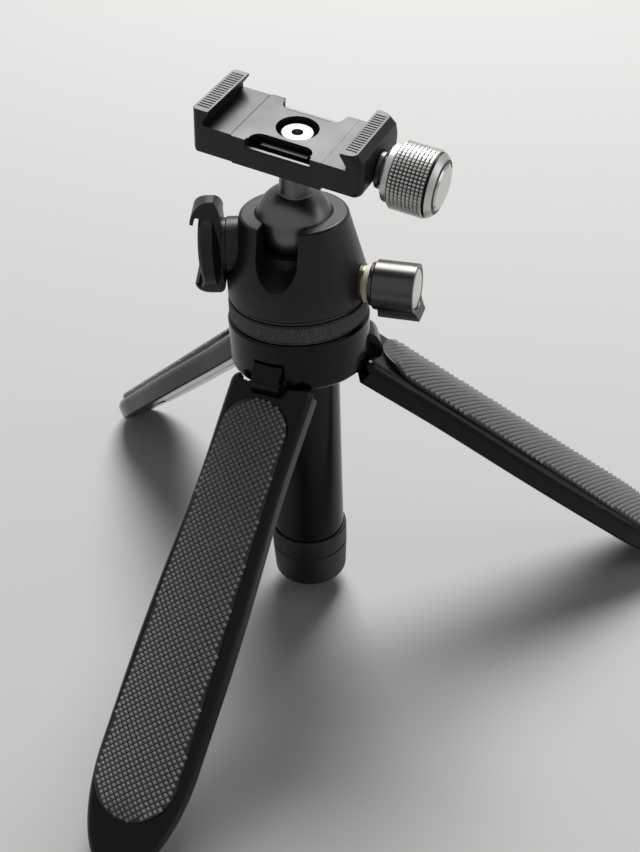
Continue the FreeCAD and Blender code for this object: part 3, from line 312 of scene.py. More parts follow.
def dust_specks():
    """Sparse pale specks of dust."""
    tree, given = group_tree(
        "Dust specks", "ShaderNodeTree",
        [("Vector", VECTOR, None), ("Scale", FLOAT, 260), ("Share", FLOAT, 0.08), ("Size", FLOAT, 0.1)],
        [("Mask", FLOAT)],
    )
    cells = add(tree, "ShaderNodeTexVoronoi", {"Vector": given["Vector"], "Scale": given["Scale"]})
    draw = add(tree, "ShaderNodeSeparateColor", {"Color": cells.outputs["Color"]})
    chosen = calc(tree, "LESS_THAN", draw.outputs[0], given["Share"])
    reach = calc(tree, "MULTIPLY", draw.outputs[1], given["Size"])
    near = calc(tree, "LESS_THAN", cells.outputs["Distance"], reach)
    close_tree(tree, {"Mask": calc(tree, "MULTIPLY", chosen, near)})
    return tree


def turned_marks():
    """Fine rings left by turning, about the Z axis of the vector that comes in."""
    tree, given = group_tree(
        "Turned marks", "ShaderNodeTree",
        [("Vector", VECTOR, None), ("Across", FLOAT, 9000), ("Along", FLOAT, 9000)],
        [("Height", FLOAT), ("Shade", FLOAT)],
    )
    parts = add(tree, "ShaderNodeSeparateXYZ", {"Vector": given["Vector"]})
    squares = [calc(tree, "POWER", parts.outputs[axis], 2.0) for axis in "XY"]
    radius = calc(tree, "SQRT", calc(tree, "ADD", *squares))
    place = add(tree, "ShaderNodeCombineXYZ", {
        "X": calc(tree, "MULTIPLY", radius, given["Across"]),
        "Y": calc(tree, "MULTIPLY", parts.outputs["Z"], given["Along"]),
    })
    lines = add(tree, "ShaderNodeTexNoise", {"Vector": place.outputs[0], "Scale": 1, "Detail": 2})
    shade = add(tree, "ShaderNodeMapRange", {
        "Value": lines.outputs["Fac"], "From Min": 0.3, "From Max": 0.7, "To Min": 0.86, "To Max": 1.06,
    })
    close_tree(tree, {"Height": lines.outputs["Fac"], "Shade": shade.outputs[0]})
    return tree


GROUPS = {}
MATERIALS = {}


def use(tree, name, inputs):
    """Places one of the shared shader groups in a material."""
    return add(tree, "ShaderNodeGroup", inputs, node_tree=GROUPS[name]).outputs


def rgba(value):
    """A colour setting as a node's opaque colour."""
    return (*value, 1.0)


def start_material(name, place=None):
    """A material, its shader and a vector on object coordinates, or on those of a place in the assembly."""
    made = bpy.data.materials.new(name)
    made.use_nodes = True
    tree = made.node_tree
    shader = tree.nodes["Principled BSDF"]
    vector = tree.nodes.new("ShaderNodeTexCoord").outputs["Object"]
    if place is not None:
        back = place.inverted()
        vector = add(tree, "ShaderNodeMapping", {
            "Vector": vector, "Location": back.to_translation(), "Rotation": back.to_euler(),
        }).outputs[0]
    MATERIALS[name] = made
    return tree, shader, vector


def bump(tree, shader, height, strength, distance):
    """Gives a shader a bump map."""
    item = add(tree, "ShaderNodeBump", {"Height": height, "Strength": strength, "Distance": distance})
    tree.links.new(item.outputs[0], shader.inputs["Normal"])


def dark_coating(name, base, rub_and_painted_light, rough, rub_and_light_amount, dust=0.0, grain=5000, shine=0.38):
    """Black coatings: anodising, gloss lacquer and moulded plastic."""
    tree, shader, vector = start_material(name)
    blast = use(tree, "Blasted grain", {
        "Vector": vector, "Grain": grain, "Cloud": 70, "Smoothest": rough[0], "Roughest": rough[1],
    })
    # The edges that broken_edges bevels take the paler colour: partly rubbing, partly a painted highlight.
    edge = use(tree, "Rub and painted light edge", {
        "Vector": vector, "Colour": rgba(base), "Rub and painted light Colour": rgba(rub_and_painted_light), "Amount": rub_and_light_amount,
    })
    paint = edge["Colour"]
    if dust:
        speck = use(tree, "Dust specks", {"Vector": vector, "Share": dust})
        paint = blended(tree, speck["Mask"], paint, (0.6, 0.6, 0.58, 1))
    tree.links.new(paint, shader.inputs["Base Color"])
    tree.links.new(blast["Roughness"], shader.inputs["Roughness"])
    shader.inputs["Specular IOR Level"].default_value = shine
    bump(tree, shader, blast["Height"], strength=0.12, distance=0.02 * MM)


def bare_metal(name, base, rough, place=None, marks=None, depth=0.15):
    """Turned metal, with rings about the piece's own axis where a place is given."""
    tree, shader, vector = start_material(name, place)
    shader.inputs["Metallic"].default_value = 1.0
    blast = use(tree, "Blasted grain", {
        "Vector": vector, "Grain": 6000, "Cloud": 150, "Smoothest": rough[0], "Roughest": rough[1],
    })
    tree.links.new(blast["Roughness"], shader.inputs["Roughness"])
    if place is None:
        # Broken edges take a paler colour: partly rubbing, partly a painted highlight.
        edge = use(tree, "Rub and painted light edge", {
            "Vector": vector, "Colour": rgba(base), "Rub and painted light Colour": rgba([min(1, c * 1.4) for c in base]),
            "Amount": 0.5,
        })
        tree.links.new(edge["Colour"], shader.inputs["Base Color"])
        bump(tree, shader, blast["Height"], strength=depth, distance=0.01 * MM)
        return
    rings = use(tree, "Turned marks", {"Vector": vector, "Across": marks[0], "Along": marks[1]})
    tree.links.new(blended(tree, 1.0, rgba(base), rings["Shade"], "MULTIPLY"), shader.inputs["Base Color"])
    bump(tree, shader, rings["Height"], strength=depth, distance=0.02 * MM)


def dotted_metal(name, base, valley):
    """Machined aluminium that is near black on its unmarked faces, the painted shade round the knob's end
    disc among them.
    """
    tree, shader, vector = start_material(name)
    blast = use(tree, "Blasted grain", {
        "Vector": vector, "Grain": 6000, "Cloud": 150, "Smoothest": 0.32, "Roughest": 0.42,
    })
    marked = add(tree, "ShaderNodeAttribute", {}, attribute_name="rub_and_painted_light").outputs["Fac"]
    tree.links.new(blended(tree, marked, rgba(valley), rgba(base)), shader.inputs["Base Color"])
    tree.links.new(blast["Roughness"], shader.inputs["Roughness"])
    shader.inputs["Metallic"].default_value = 1.0
    bump(tree, shader, blast["Height"], strength=0.12, distance=0.01 * MM)


def rubber(name, base):
    """Rubber with a fine grain and a slight sheen, and a painted highlight that makes the studs paler."""
    tree, shader, vector = start_material(name)
    blast = use(tree, "Blasted grain", {
        "Vector": vector, "Grain": 3500, "Cloud": 60, "Smoothest": 0.32, "Roughest": 0.42,
    })
    studs = add(tree, "ShaderNodeAttribute", {}, attribute_name="rub_and_painted_light").outputs["Fac"]
    # Painted highlight: the studs take this pale grey.
    tree.links.new(blended(tree, studs, rgba(base), (0.3, 0.3, 0.295, 1)), shader.inputs["Base Color"])
    tree.links.new(blast["Roughness"], shader.inputs["Roughness"])
    bump(tree, shader, blast["Height"], strength=0.15, distance=0.02 * MM)


def ivory(name, base):
    """Pale nylon that lets a little light in."""
    tree, shader, vector = start_material(name)
    blast = use(tree, "Blasted grain", {
        "Vector": vector, "Grain": 3000, "Cloud": 90, "Smoothest": 0.38, "Roughest": 0.5,
    })
    stain = add(tree, "ShaderNodeTexNoise", {"Vector": vector, "Scale": 220, "Detail": 3})
    stained = blended(tree, stain.outputs["Fac"], rgba(base), rgba([c * 0.86 for c in base]))
    tree.links.new(stained, shader.inputs["Base Color"])
    tree.links.new(blast["Roughness"], shader.inputs["Roughness"])
    shader.inputs["Subsurface Weight"].default_value = 0.15
    shader.inputs["Subsurface Scale"].default_value = 1 * MM
    bump(tree, shader, blast["Height"], strength=0.1, distance=0.02 * MM)


# Geometry nodes trees

GEOMETRY = "NodeSocketGeometry"
INT = "NodeSocketInt"
MATERIAL = "NodeSocketMaterial"


def bump_shape(tree, bottom, top, height, rub_and_painted_light):
    """A four-sided stud with a blunt top and its share of the paler colour, a painted highlight on pads and
    ring.
    """
    cone = add(tree, "GeometryNodeMeshCone", {
        "Vertices": 4, "Side Segments": 1, "Radius Top": top, "Radius Bottom": bottom, "Depth": height,
    })
    marked = add(tree, "GeometryNodeStoreNamedAttribute", {
        "Geometry": cone.outputs["Mesh"], "Name": "rub_and_painted_light", "Value": rub_and_painted_light,
    }, data_type="FLOAT", domain="FACE")
    return marked.outputs[0]


def finish_tree(tree, given, studs):
    """Joins what repeats with the piece under it and gives both the material."""
    real = add(tree, "GeometryNodeRealizeInstances", {"Geometry": studs}).outputs[0]
    joined = tree.nodes.new("GeometryNodeJoinGeometry")
    tree.links.new(given["Geometry"], joined.inputs[0])
    tree.links.new(real, joined.inputs[0])
    made = add(tree, "GeometryNodeSetMaterial", {
        "Geometry": joined.outputs[0], "Material": given["Material"],
    })
    close_tree(tree, {"Geometry": made.outputs[0]})


def studded_pad_tree():
    """Studs in a turned square grid, set on the domed face of a pad and kept clear of its rim."""
    tree, given = group_tree(
        "Studded pad", "GeometryNodeTree",
        [("Geometry", GEOMETRY, None), ("Pitch", FLOAT, 1.36 * MM), ("Height", FLOAT, 0.67 * MM),
         ("Turn", FLOAT, 0.73), ("Middle", VECTOR, None), ("Reach", FLOAT, 119 * MM),
         ("Shrink", VECTOR, None), ("Material", MATERIAL, None)],
        [("Geometry", GEOMETRY)],
    )
    count = calc(tree, "ROUND", calc(tree, "DIVIDE", given["Reach"], given["Pitch"]))
    grid = add(tree, "GeometryNodeMeshGrid", {
        "Size X": calc(tree, "MULTIPLY", count, given["Pitch"]),
        "Size Y": calc(tree, "MULTIPLY", count, given["Pitch"]),
        "Vertices X": calc(tree, "ADD", count, 1.0), "Vertices Y": calc(tree, "ADD", count, 1.0),
    })
    turn = add(tree, "ShaderNodeCombineXYZ", {"Z": given["Turn"]})
    high = add(tree, "ShaderNodeVectorMath", {0: given["Middle"], 1: (0, 0, RAY_START)}, operation="ADD")
    placed = add(tree, "GeometryNodeTransform", {
        "Geometry": grid.outputs[0], "Translation": high.outputs[0], "Rotation": turn.outputs[0],
    })
    to_middle = add(tree, "ShaderNodeVectorMath", {0: given["Middle"], "Scale": -1.0}, operation="SCALE")
    centred = add(tree, "GeometryNodeTransform", {
        "Geometry": given["Geometry"], "Translation": to_middle.outputs[0],
    })
    smaller = add(tree, "GeometryNodeTransform", {
        "Geometry": centred.outputs[0], "Translation": given["Middle"], "Scale": given["Shrink"],
    })
    down = {"Ray Direction": (0, 0, -1), "Ray Length": RAY_LENGTH}
    inside = add(tree, "GeometryNodeRaycast", {"Target Geometry": smaller.outputs[0], **down})
    missed = add(tree, "FunctionNodeBooleanMath", {0: inside.outputs["Is Hit"]}, operation="NOT")
    kept = add(tree, "GeometryNodeDeleteGeometry", {
        "Geometry": placed.outputs[0], "Selection": missed.outputs[0],
    }, domain="POINT")
    onto = add(tree, "GeometryNodeRaycast", {"Target Geometry": given["Geometry"], **down})
    normal = add(tree, "GeometryNodeCaptureAttribute", {"Geometry": kept.outputs[0]}, domain="POINT")
    normal.capture_items.new("VECTOR", "Normal")
    tree.links.new(onto.outputs["Hit Normal"], normal.inputs[1])
    sunk = add(tree, "ShaderNodeVectorMath", {
        0: onto.outputs["Hit Normal"], "Scale": -STUD_SINK,
    }, operation="SCALE")
    seated = add(tree, "GeometryNodeSetPosition", {
        "Geometry": normal.outputs[0], "Position": onto.outputs["Hit Position"], "Offset": sunk.outputs[0],
    })
    quarter = add(tree, "ShaderNodeCombineXYZ", {"Z": calc(tree, "ADD", given["Turn"], math.pi / 4)})
    spin = add(tree, "FunctionNodeEulerToRotation", {0: quarter.outputs[0]})
    facing = add(tree, "FunctionNodeAlignRotationToVector", {
        "Rotation": spin.outputs[0], "Vector": normal.outputs[1],
    }, axis="Z")
    bottom = calc(tree, "MULTIPLY", given["Pitch"], STUD_BOTTOM)
    # Each stud is marked whole for the rubber's painted highlight.
    stud = bump_shape(tree, bottom, calc(tree, "MULTIPLY", bottom, STUD_TOP), given["Height"], 1.0)
    studs = add(tree, "GeometryNodeInstanceOnPoints", {
        "Points": seated.outputs[0], "Instance": stud, "Rotation": facing.outputs[0],
    })
    finish_tree(tree, given, studs.outputs[0])
    return tree


def knurled_barrel_tree():
    """Rows of studs round the Z axis, on a turned piece."""
    tree, given = group_tree(
        "Knurled barrel", "GeometryNodeTree",
        [("Geometry", GEOMETRY, None), ("Around", INT, 100), ("Rows", INT, 6), ("Radius", FLOAT, 20 * MM),
         ("Low", FLOAT, 0.0), ("High", FLOAT, 5 * MM), ("Height", FLOAT, 0.3 * MM), ("Stagger", FLOAT, 0.5),
         ("Corner Turn", FLOAT, 0.0), ("Size", VECTOR, None), ("Top", FLOAT, 0.3), ("Rub and painted light", FLOAT, 0.0),
         ("Material", MATERIAL, None)],
        [("Geometry", GEOMETRY)],
    )
    total = calc(tree, "MULTIPLY", given["Around"], given["Rows"])
    points = add(tree, "GeometryNodePoints", {"Count": total})
    index = tree.nodes.new("GeometryNodeInputIndex").outputs[0]
    row = calc(tree, "FLOOR", calc(tree, "DIVIDE", calc(tree, "ADD", index, 0.5), given["Around"]))
    column = calc(tree, "SUBTRACT", index, calc(tree, "MULTIPLY", row, given["Around"]))
    shift = calc(tree, "MULTIPLY", calc(tree, "MODULO", row, 2.0), given["Stagger"])
    step = calc(tree, "DIVIDE", 2 * math.pi, given["Around"])
    angle = calc(tree, "MULTIPLY", calc(tree, "ADD", column, shift), step)
    share = calc(tree, "DIVIDE", calc(tree, "ADD", row, 0.5), given["Rows"])
    rise = calc(tree, "MULTIPLY", calc(tree, "SUBTRACT", given["High"], given["Low"]), share)
    across, deep = calc(tree, "COSINE", angle), calc(tree, "SINE", angle)
    out = add(tree, "ShaderNodeCombineXYZ", {"X": across, "Y": deep})
    place = add(tree, "ShaderNodeCombineXYZ", {
        "X": calc(tree, "MULTIPLY", across, given["Radius"]),
        "Y": calc(tree, "MULTIPLY", deep, given["Radius"]),
        "Z": calc(tree, "ADD", given["Low"], rise),
    })
    seated = add(tree, "GeometryNodeSetPosition", {
        "Geometry": points.outputs[0], "Position": place.outputs[0],
    })
    facing = add(tree, "FunctionNodeAxesToRotation", {
        "Primary Axis": out.outputs[0], "Secondary Axis": (0, 0, 1),
    }, primary_axis="Z", secondary_axis="Y")
    corner = add(tree, "ShaderNodeCombineXYZ", {"Z": given["Corner Turn"]})
    stud = bump_shape(tree, 1.0, given["Top"], given["Height"], given["Rub and painted light"])
    turned_stud = add(tree, "GeometryNodeTransform", {"Geometry": stud, "Rotation": corner.outputs[0]})
    sized = add(tree, "GeometryNodeTransform", {"Geometry": turned_stud.outputs[0], "Scale": given["Size"]})
    studs = add(tree, "GeometryNodeInstanceOnPoints", {
        "Points": seated.outputs[0], "Instance": sized.outputs[0], "Rotation": facing.outputs[0],
    })
    finish_tree(tree, given, studs.outputs[0])
    return tree


TREES = {}


def apply_modifiers(piece):
    """Keeps what a piece's modifiers make of it as a plain mesh."""
    seen = piece.evaluated_get(bpy.context.evaluated_depsgraph_get())
    mesh = bpy.data.meshes.new_from_object(seen)
    piece.modifiers.clear()
    piece.data = mesh


def grow(piece, tree_name, values):
    """Runs a geometry nodes tree on a piece and keeps the result."""
    tree = TREES[tree_name]
    modifier = piece.modifiers.new(tree_name, "NODES")
    modifier.node_group = tree
    sockets = {
        item.name: item.identifier for item in tree.interface.items_tree
        if item.item_type == "SOCKET" and item.in_out == "INPUT"
    }
    for name, value in values.items():
        modifier[sockets[name]] = value
    apply_modifiers(piece)


# Mesh helpers

def new_piece(name, mesh):
    """An object in the scene with the given mesh."""
    piece = bpy.data.objects.new(name, mesh)
    bpy.context.scene.collection.objects.link(piece)
    return piece


def settle(piece, body, slot, *nodes):
    """Gives a finished piece its body and hides the CAD nodes that it stands for. The slot is not used."""
    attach(piece, body)
    if nodes:
        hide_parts(*nodes)
    return piece


def turned(profile):
    """A ring turned about Z from a closed profile of radius and height, in millimetres."""
    bm = bmesh.new()
    rings = []
    for radius, height in profile:
        ring = []
        for number in range(TURNED_SEGMENTS):
            angle = 2 * math.pi * number / TURNED_SEGMENTS
            spot = Vector((radius * math.cos(angle), radius * math.sin(angle), height))
            ring.append(bm.verts.new(spot * MM))
        rings.append(ring)
    for low, high in zip(rings, rings[1:] + rings[:1]):
        for number in range(TURNED_SEGMENTS):
            after = (number + 1) % TURNED_SEGMENTS
            bm.faces.new((low[number], low[after], high[after], high[number]))
    bmesh.ops.recalc_face_normals(bm, faces=bm.faces)
    for face in bm.faces:
        face.smooth = True
    mesh = bpy.data.meshes.new("turned")
    bm.to_mesh(mesh)
    bm.free()
    mesh.set_sharp_from_angle(angle=TURNED_SHARP)
    return mesh


def merged_copy(node):
    """A CAD node's mesh with its loose triangles joined and its flat faces made whole."""
    mesh = frame["nodes"][node].data.copy()
    bm = bmesh.new()
    bm.from_mesh(mesh)
    bmesh.ops.remove_doubles(bm, verts=bm.verts, dist=MERGE_WITHIN)
    bmesh.ops.dissolve_limit(bm, angle_limit=FLAT_WITHIN, verts=bm.verts, edges=bm.edges)
    for face in bm.faces:
        face.smooth = True
    clean = bpy.data.meshes.new(node)
    bm.to_mesh(clean)
    bm.free()
    bpy.data.meshes.remove(mesh)
    return clean


def rub_and_painted_light_values(mesh):
    """What each face's rub_and_painted_light attribute says."""
    values = [0.0] * len(mesh.polygons)
    mesh.attributes["rub_and_painted_light"].data.foreach_get("value", values)
    return values


def mark_rub_and_painted_light(mesh, values):
    """Writes the face attribute of rubbing and painted light, which the rub and painted light edge group, the
    dotted metal and the rubber read.
    """
    layer = mesh.attributes.get("rub_and_painted_light") or mesh.attributes.new("rub_and_painted_light", "FLOAT", "FACE")
    layer.data.foreach_set("value", values)


def mark_clamp_rub_and_painted_light(piece):
    """Marks the clamp's faces for the paler colour: the jaw tops as rubbing and painted light, the grooves in
    them and the pocket's lip as painted highlight.
    """
    to_head = HEAD.inverted()
    turn = to_head.to_3x3()
    values = rub_and_painted_light_values(piece.data)
    for face in piece.data.polygons:
        _, y, z = (to_head @ face.center) / MM
        level = (turn @ face.normal).z > LEVEL
        # Painted light: the jaw tops partly, the grooves and the pocket's lip wholly.
        if z > JAW_TOP_FROM:
            values[face.index] = JAW_TOP_RUB_AND_PAINTED_LIGHT
        elif z > GROOVES_FROM and abs(y) < GROOVES_HALF_WIDTH:
            values[face.index] = GROOVE_PAINTED_LIGHT
        elif level and abs(z - POCKET_LIP_TOP) < POCKET_LIP_NEAR and abs(y) > POCKET_LIP_INNER:
            values[face.index] = LIP_PAINTED_HIGHLIGHT
    mark_rub_and_painted_light(piece.data, values)


def outside_grooves(middle):
    """Whether a point lies outside the grooved strips on the tops of the clamp's jaws."""
    x, y, z = HEAD.inverted() @ middle / MM
    in_strip = any(low < x < high for low, high in (FIXED_STRIP, MOVING_STRIP))
    return not (in_strip and z > STRIP_FROM and abs(y) < STRIP_HALF_WIDTH)


def broken_edges(node, width, corner, wanted):
    """A copy of a machined CAD node with its sharp edges broken, so that they catch the light."""
    piece = new_piece(node + "_dressed", merged_copy(node))
    piece.data.materials.append(None)
    piece.data.materials.append(None)
    piece.data.polygons.foreach_set("material_index", [0] * len(piece.data.polygons))
    bm = bmesh.new()
    bm.from_mesh(piece.data)
    weight = bm.edges.layers.float.new("bevel_weight_edge")
    for edge in bm.edges:
        sharp = len(edge.link_faces) == 2 and edge.calc_face_angle() > corner
        middle = (edge.verts[0].co + edge.verts[1].co) / 2
        rounded = sharp and (wanted is None or wanted(middle))
        edge[weight] = 1.0 if rounded else 0.0
        edge.smooth = rounded or not sharp
    bm.to_mesh(piece.data)
    bm.free()
    bevel = piece.modifiers.new("Broken edges", "BEVEL")
    bevel.width = width
    bevel.material = 1
    bevel.segments = 2
    bevel.limit_method = "WEIGHT"
    bevel.harden_normals = True
    bevel.miter_outer = "MITER_ARC"
    normals = piece.modifiers.new("Flat faces", "WEIGHTED_NORMAL")
    normals.keep_sharp = True
    normals.weight = 100
    apply_modifiers(piece)
    mesh = piece.data
    # The bevel faces are marked for the paler colour: partly rubbing, partly a painted highlight on the
    # edges.
    mark_rub_and_painted_light(mesh, [float(face.material_index) for face in mesh.polygons])
    mesh.polygons.foreach_set("material_index", [0] * len(mesh.polygons))
    return piece


def dress(material, *nodes):
    """Gives CAD nodes a material."""
    for node in nodes:
        slots = frame["nodes"][node].data.materials
        slots.clear()
        slots.append(MATERIALS[material])


def body_of(node):
    """The body that a CAD node rides."""
    return frame["nodes"][node]["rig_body"]


def machined(node, width, material, slot=None, corner=EDGE_SHARP, wanted=None):
    """Puts a copy with broken edges in a CAD node's place. The slot, or the material's name where none is
    given, goes to settle, which does not use it.
    """
    piece = broken_edges(node, width, corner, wanted)
    piece.data.materials.clear()
    piece.data.materials.append(MATERIALS[material])
    return settle(piece, body_of(node), slot or material, node)


# Operators

class MakeFinishes(bpy.types.Operator):
    """Makes the shader groups, the materials and the trees that the pieces use."""

    bl_idname = "mini_tripod.finishes"
    bl_label = "Finishes"

    def execute(self, context):
        look = context.scene.tripod_finish
        for make in (blasted_grain, rub_and_painted_light_edge, dust_specks, turned_marks):
            tree = make()
            GROUPS[tree.name] = tree
        for make in (studded_pad_tree, knurled_barrel_tree):
            tree = make()
            TREES[tree.name] = tree
        # The paler colours given here lie on the broken edges: partly rubbing, partly painted highlight.
        dark_coating("black_anodised", look.anodised, rub_and_painted_light=(0.11, 0.11, 0.108), rough=(0.33, 0.45), rub_and_light_amount=0.6)
        dark_coating(
            "black_gloss", look.gloss, rub_and_painted_light=(0.12, 0.12, 0.12), rough=(0.14, 0.2), rub_and_light_amount=0.45,
            dust=0.03, shine=0.2,
        )
        # Black anodising whose paler colour is a painted highlight on the clamp and the lock ring, and partly
        # rubbing on the jaw tops.
        dark_coating("anodised_rubbed_and_painted_light", look.anodised, rub_and_painted_light=(0.3, 0.3, 0.29), rough=(0.33, 0.45), rub_and_light_amount=1.0)
        dark_coating(
            "black_polymer", look.polymer, rub_and_painted_light=(0.05, 0.05, 0.05), rough=(0.4, 0.55), rub_and_light_amount=0.3, grain=2500,
        )
        rubber("pad_rubber", look.rubber)
        bare_metal("satin_silver", look.satin, rough=(0.3, 0.4), place=HEAD, marks=(2000, 9000), depth=0.1)
        bare_metal("knob_silver", look.bright, rough=(0.2, 0.3))
        dotted_metal("dotted_silver", look.bright, valley=(0.012, 0.012, 0.012))
        for name, place in (("spun_clamp_disc", ROD), ("spun_pan_disc", PAN_LOCK)):
            bare_metal(name, look.bright, rough=(0.16, 0.24), place=place, marks=(7000, 100), depth=0.35)
        for name, place in (("knob_grey", PAN_LOCK), ("collar_grey", ROD)):
            bare_metal(
                name, look.dark_metal, rough=(0.24, 0.32), place=place, marks=(2000, 12000), depth=0.12,
            )
        bare_metal("bright_steel", look.steel, rough=(0.34, 0.42))
        bare_metal("brass", look.brass, rough=(0.22, 0.32))
        ivory("white_nylon", look.ivory)
        for part in frame["record"]["subparts"]:
            dress(part["material_slot"], part["node"])
        return {"FINISHED"}


class MakeStand(bpy.types.Operator):
    """Makes the crown, the column, its end cap and the legs."""

    bl_idname = "mini_tripod.stand"
    bl_label = "Crown, column and legs"

    def execute(self, context):
        detail = context.scene.tripod_detail
        machined("column_end_cap", detail.edge, "black_polymer")
        machined("column_outer_tube", detail.edge / 2, "black_gloss")
        machined("crown", 2.5 * detail.edge, "black_gloss")
        for number in (1, 2, 3):
            machined(f"leg_{number}", 1.5 * detail.edge, "black_gloss", corner=LEG_EDGE_SHARP)
        return {"FINISHED"}


class MakeLegs(bpy.types.Operator):
    """Makes the studded rubber pads of the three legs."""

    bl_idname = "mini_tripod.legs"
    bl_label = "Leg pads"

    def execute(self, context):
        detail = context.scene.tripod_detail
        long = PAD_END - PAD_START
        for number, body in enumerate(LEG_BODIES):
            node = f"leg_pad_{number + 1}"
            place = Matrix.Rotation(math.radians(120 * number), 4, "Z") @ LEG
            piece = new_piece(f"studded_pad_{number + 1}", merged_copy(node))
            piece.data.transform(place.inverted())
            grow(piece, "Studded pad", {
                "Pitch": detail.stud_pitch, "Height": detail.stud_height + STUD_SINK,
                "Turn": detail.stud_turn, "Middle": ((PAD_START + PAD_END) / 2, 0, 0), "Reach": long,
                "Shrink": (1 - 2 * detail.stud_margin / long, 1 - detail.stud_margin / PAD_HALF_WIDTH, 1),
                "Material": MATERIALS["pad_rubber"],
            })
            piece.data.transform(place)
            settle(piece, body, "pad_rubber", node)
        return {"FINISHED"}


class MakeLockRing(bpy.types.Operator):
    """Makes the knurled twist-lock ring."""

    bl_idname = "mini_tripod.lock_ring"
    bl_label = "Lock ring"

    def execute(self, context):
        detail = context.scene.tripod_detail
        sunk = RING_RADIUS - detail.ring_depth / MM
        piece = new_piece("knurled_lock_ring", turned((
            (11, 4.7), (18, 4.7), (18, 0), (19.33, 0), (19.95, 0.62), (19.95, 0.82),
            (sunk, 0.95), (sunk, 5.25), (19.9, 5.4), (19.9, 5.62), (19.6, 6.0), (11, 6.0),
        )))
        grow(piece, "Knurled barrel", {
            "Around": detail.ring_teeth, "Rows": detail.ring_rows, "Radius": sunk * MM - KNURL_SINK,
            "Low": RING_KNURL[0] * MM, "High": RING_KNURL[1] * MM,
            "Height": detail.ring_depth + KNURL_SINK, "Stagger": 0.5,
            "Size": RING_DIAMOND, "Top": 0.2, "Rub and painted light": RING_DIAMOND_PAINTED_HIGHLIGHT,
            "Material": MATERIALS["anodised_rubbed_and_painted_light"],
        })
        # Painted highlight: the lower chamfer is marked pale, as the diamonds are above.
        values = rub_and_painted_light_values(piece.data)
        for face in piece.data.polygons:
            x, y, z = face.center / MM
            if z < RING_CHAMFER_TOP and math.hypot(x, y) > RING_CHAMFER_INNER:
                values[face.index] = RING_CHAMFER_PAINTED_HIGHLIGHT
        mark_rub_and_painted_light(piece.data, values)
        piece.data.transform(Matrix.Translation((0, 0, RING_Z)))
        settle(piece, "twist_lock", "black_anodised", "lock_ring")
        return {"FINISHED"}


class MakeHead(bpy.types.Operator):
    """Makes the housing, its base disc and the ball."""

    bl_idname = "mini_tripod.head"
    bl_label = "Ball head"

    def execute(self, context):
        detail = context.scene.tripod_detail
        machined("head_housing", 1.3 * detail.edge, "black_anodised")
        machined("pan_base", detail.edge / 2, "black_anodised")
        machined("ball_and_stem", detail.edge, "satin_silver")
        return {"FINISHED"}


class MakeLocks(bpy.types.Operator):
    """Makes the winged main lock knob and the pan lock knob with their bushes and end faces."""

    bl_idname = "mini_tripod.locks"
    bl_label = "Lock knobs"

    def execute(self, context):
        detail = context.scene.tripod_detail
        for node in ("main_lock_knob", "main_lock_cover", "main_lock_bush"):
            machined(node, detail.edge, "black_anodised")
        machined("pan_lock_bush", detail.edge, "white_nylon")
        machined("pan_lock_knob", detail.edge, "knob_grey")
        machined("pan_knob_disc", detail.edge / 2, "spun_pan_disc", "knob_silver")
        return {"FINISHED"}


class MakeClamp(bpy.types.Operator):
    """Makes the clamp's body, moving jaw and screw, and colours the collar."""

    bl_idname = "mini_tripod.clamp"
    bl_label = "Clamp"

    def execute(self, context):
        detail = context.scene.tripod_detail
        for node in ("clamp_body", "moving_jaw"):
            piece = machined(node, detail.edge, "anodised_rubbed_and_painted_light", "black_anodised", wanted=outside_grooves)
            mark_clamp_rub_and_painted_light(piece)
        machined("clamp_screw", detail.edge / 2, "bright_steel")
        dress("collar_grey", "jaw_collar")
        return {"FINISHED"}


class MakeClampKnob(bpy.types.Operator):
    """Makes the clamp knob with its rows of dots and its spun end disc."""

    bl_idname = "mini_tripod.clamp_knob"
    bl_label = "Clamp knob"

    def execute(self, context):
        detail = context.scene.tripod_detail
        sunk = KNOB_RADIUS - detail.knob_depth / MM
        piece = new_piece("dotted_clamp_knob", turned((
            (2.5, 26.5), (7.1, 26.5), (7.55, 26.75), (7.7, 27.2), (7.7, 28.3), (8.2, 28.55),
            (sunk, KNOB_DOTS_FROM), (sunk, KNOB_DOTS_TO), (8.45, 38.6), (8.45, KNOB_BAND_END),
            (7.35, 40.35), (7.1, 40.5), (6.0, 40.5), (6.0, 39.8), (2.5, 39.8),
        )))
        shade_from, shade_radius = KNOB_PAINTED_SHADE
        bright = []
        for face in piece.data.polygons:
            x, y, z = face.center / MM
            dark = KNOB_DOTS_FROM < z < KNOB_BAND_END
            # Painted shade: the front ring round the end disc stays near black, in place of a groove.
            dark = dark or (z > shade_from and math.hypot(x, y) < shade_radius)
            bright.append(0.0 if dark else 1.0)
        mark_rub_and_painted_light(piece.data, bright)
        low = KNOB_DOTS_FROM * MM + KNURL_SINK
        high = KNOB_DOTS_TO * MM
        around = 2 * math.pi * sunk * MM / detail.knob_dots
        along = (high - low) / detail.knob_rows
        grow(piece, "Knurled barrel", {
            "Around": detail.knob_dots, "Rows": detail.knob_rows, "Radius": sunk * MM - KNURL_SINK,
            "Low": low, "High": high, "Height": detail.knob_depth + KNURL_SINK, "Stagger": 0.0,
            "Corner Turn": math.pi / 4, "Size": (around * KNOB_DOT, along * KNOB_DOT, 1),
            "Top": 0.6, "Rub and painted light": 1.0, "Material": MATERIALS["dotted_silver"],
        })
        piece.data.transform(ROD)
        settle(piece, "knob", "knob_silver", "clamp_knob")
        dress("spun_clamp_disc", "clamp_knob_disc")
        return {"FINISHED"}


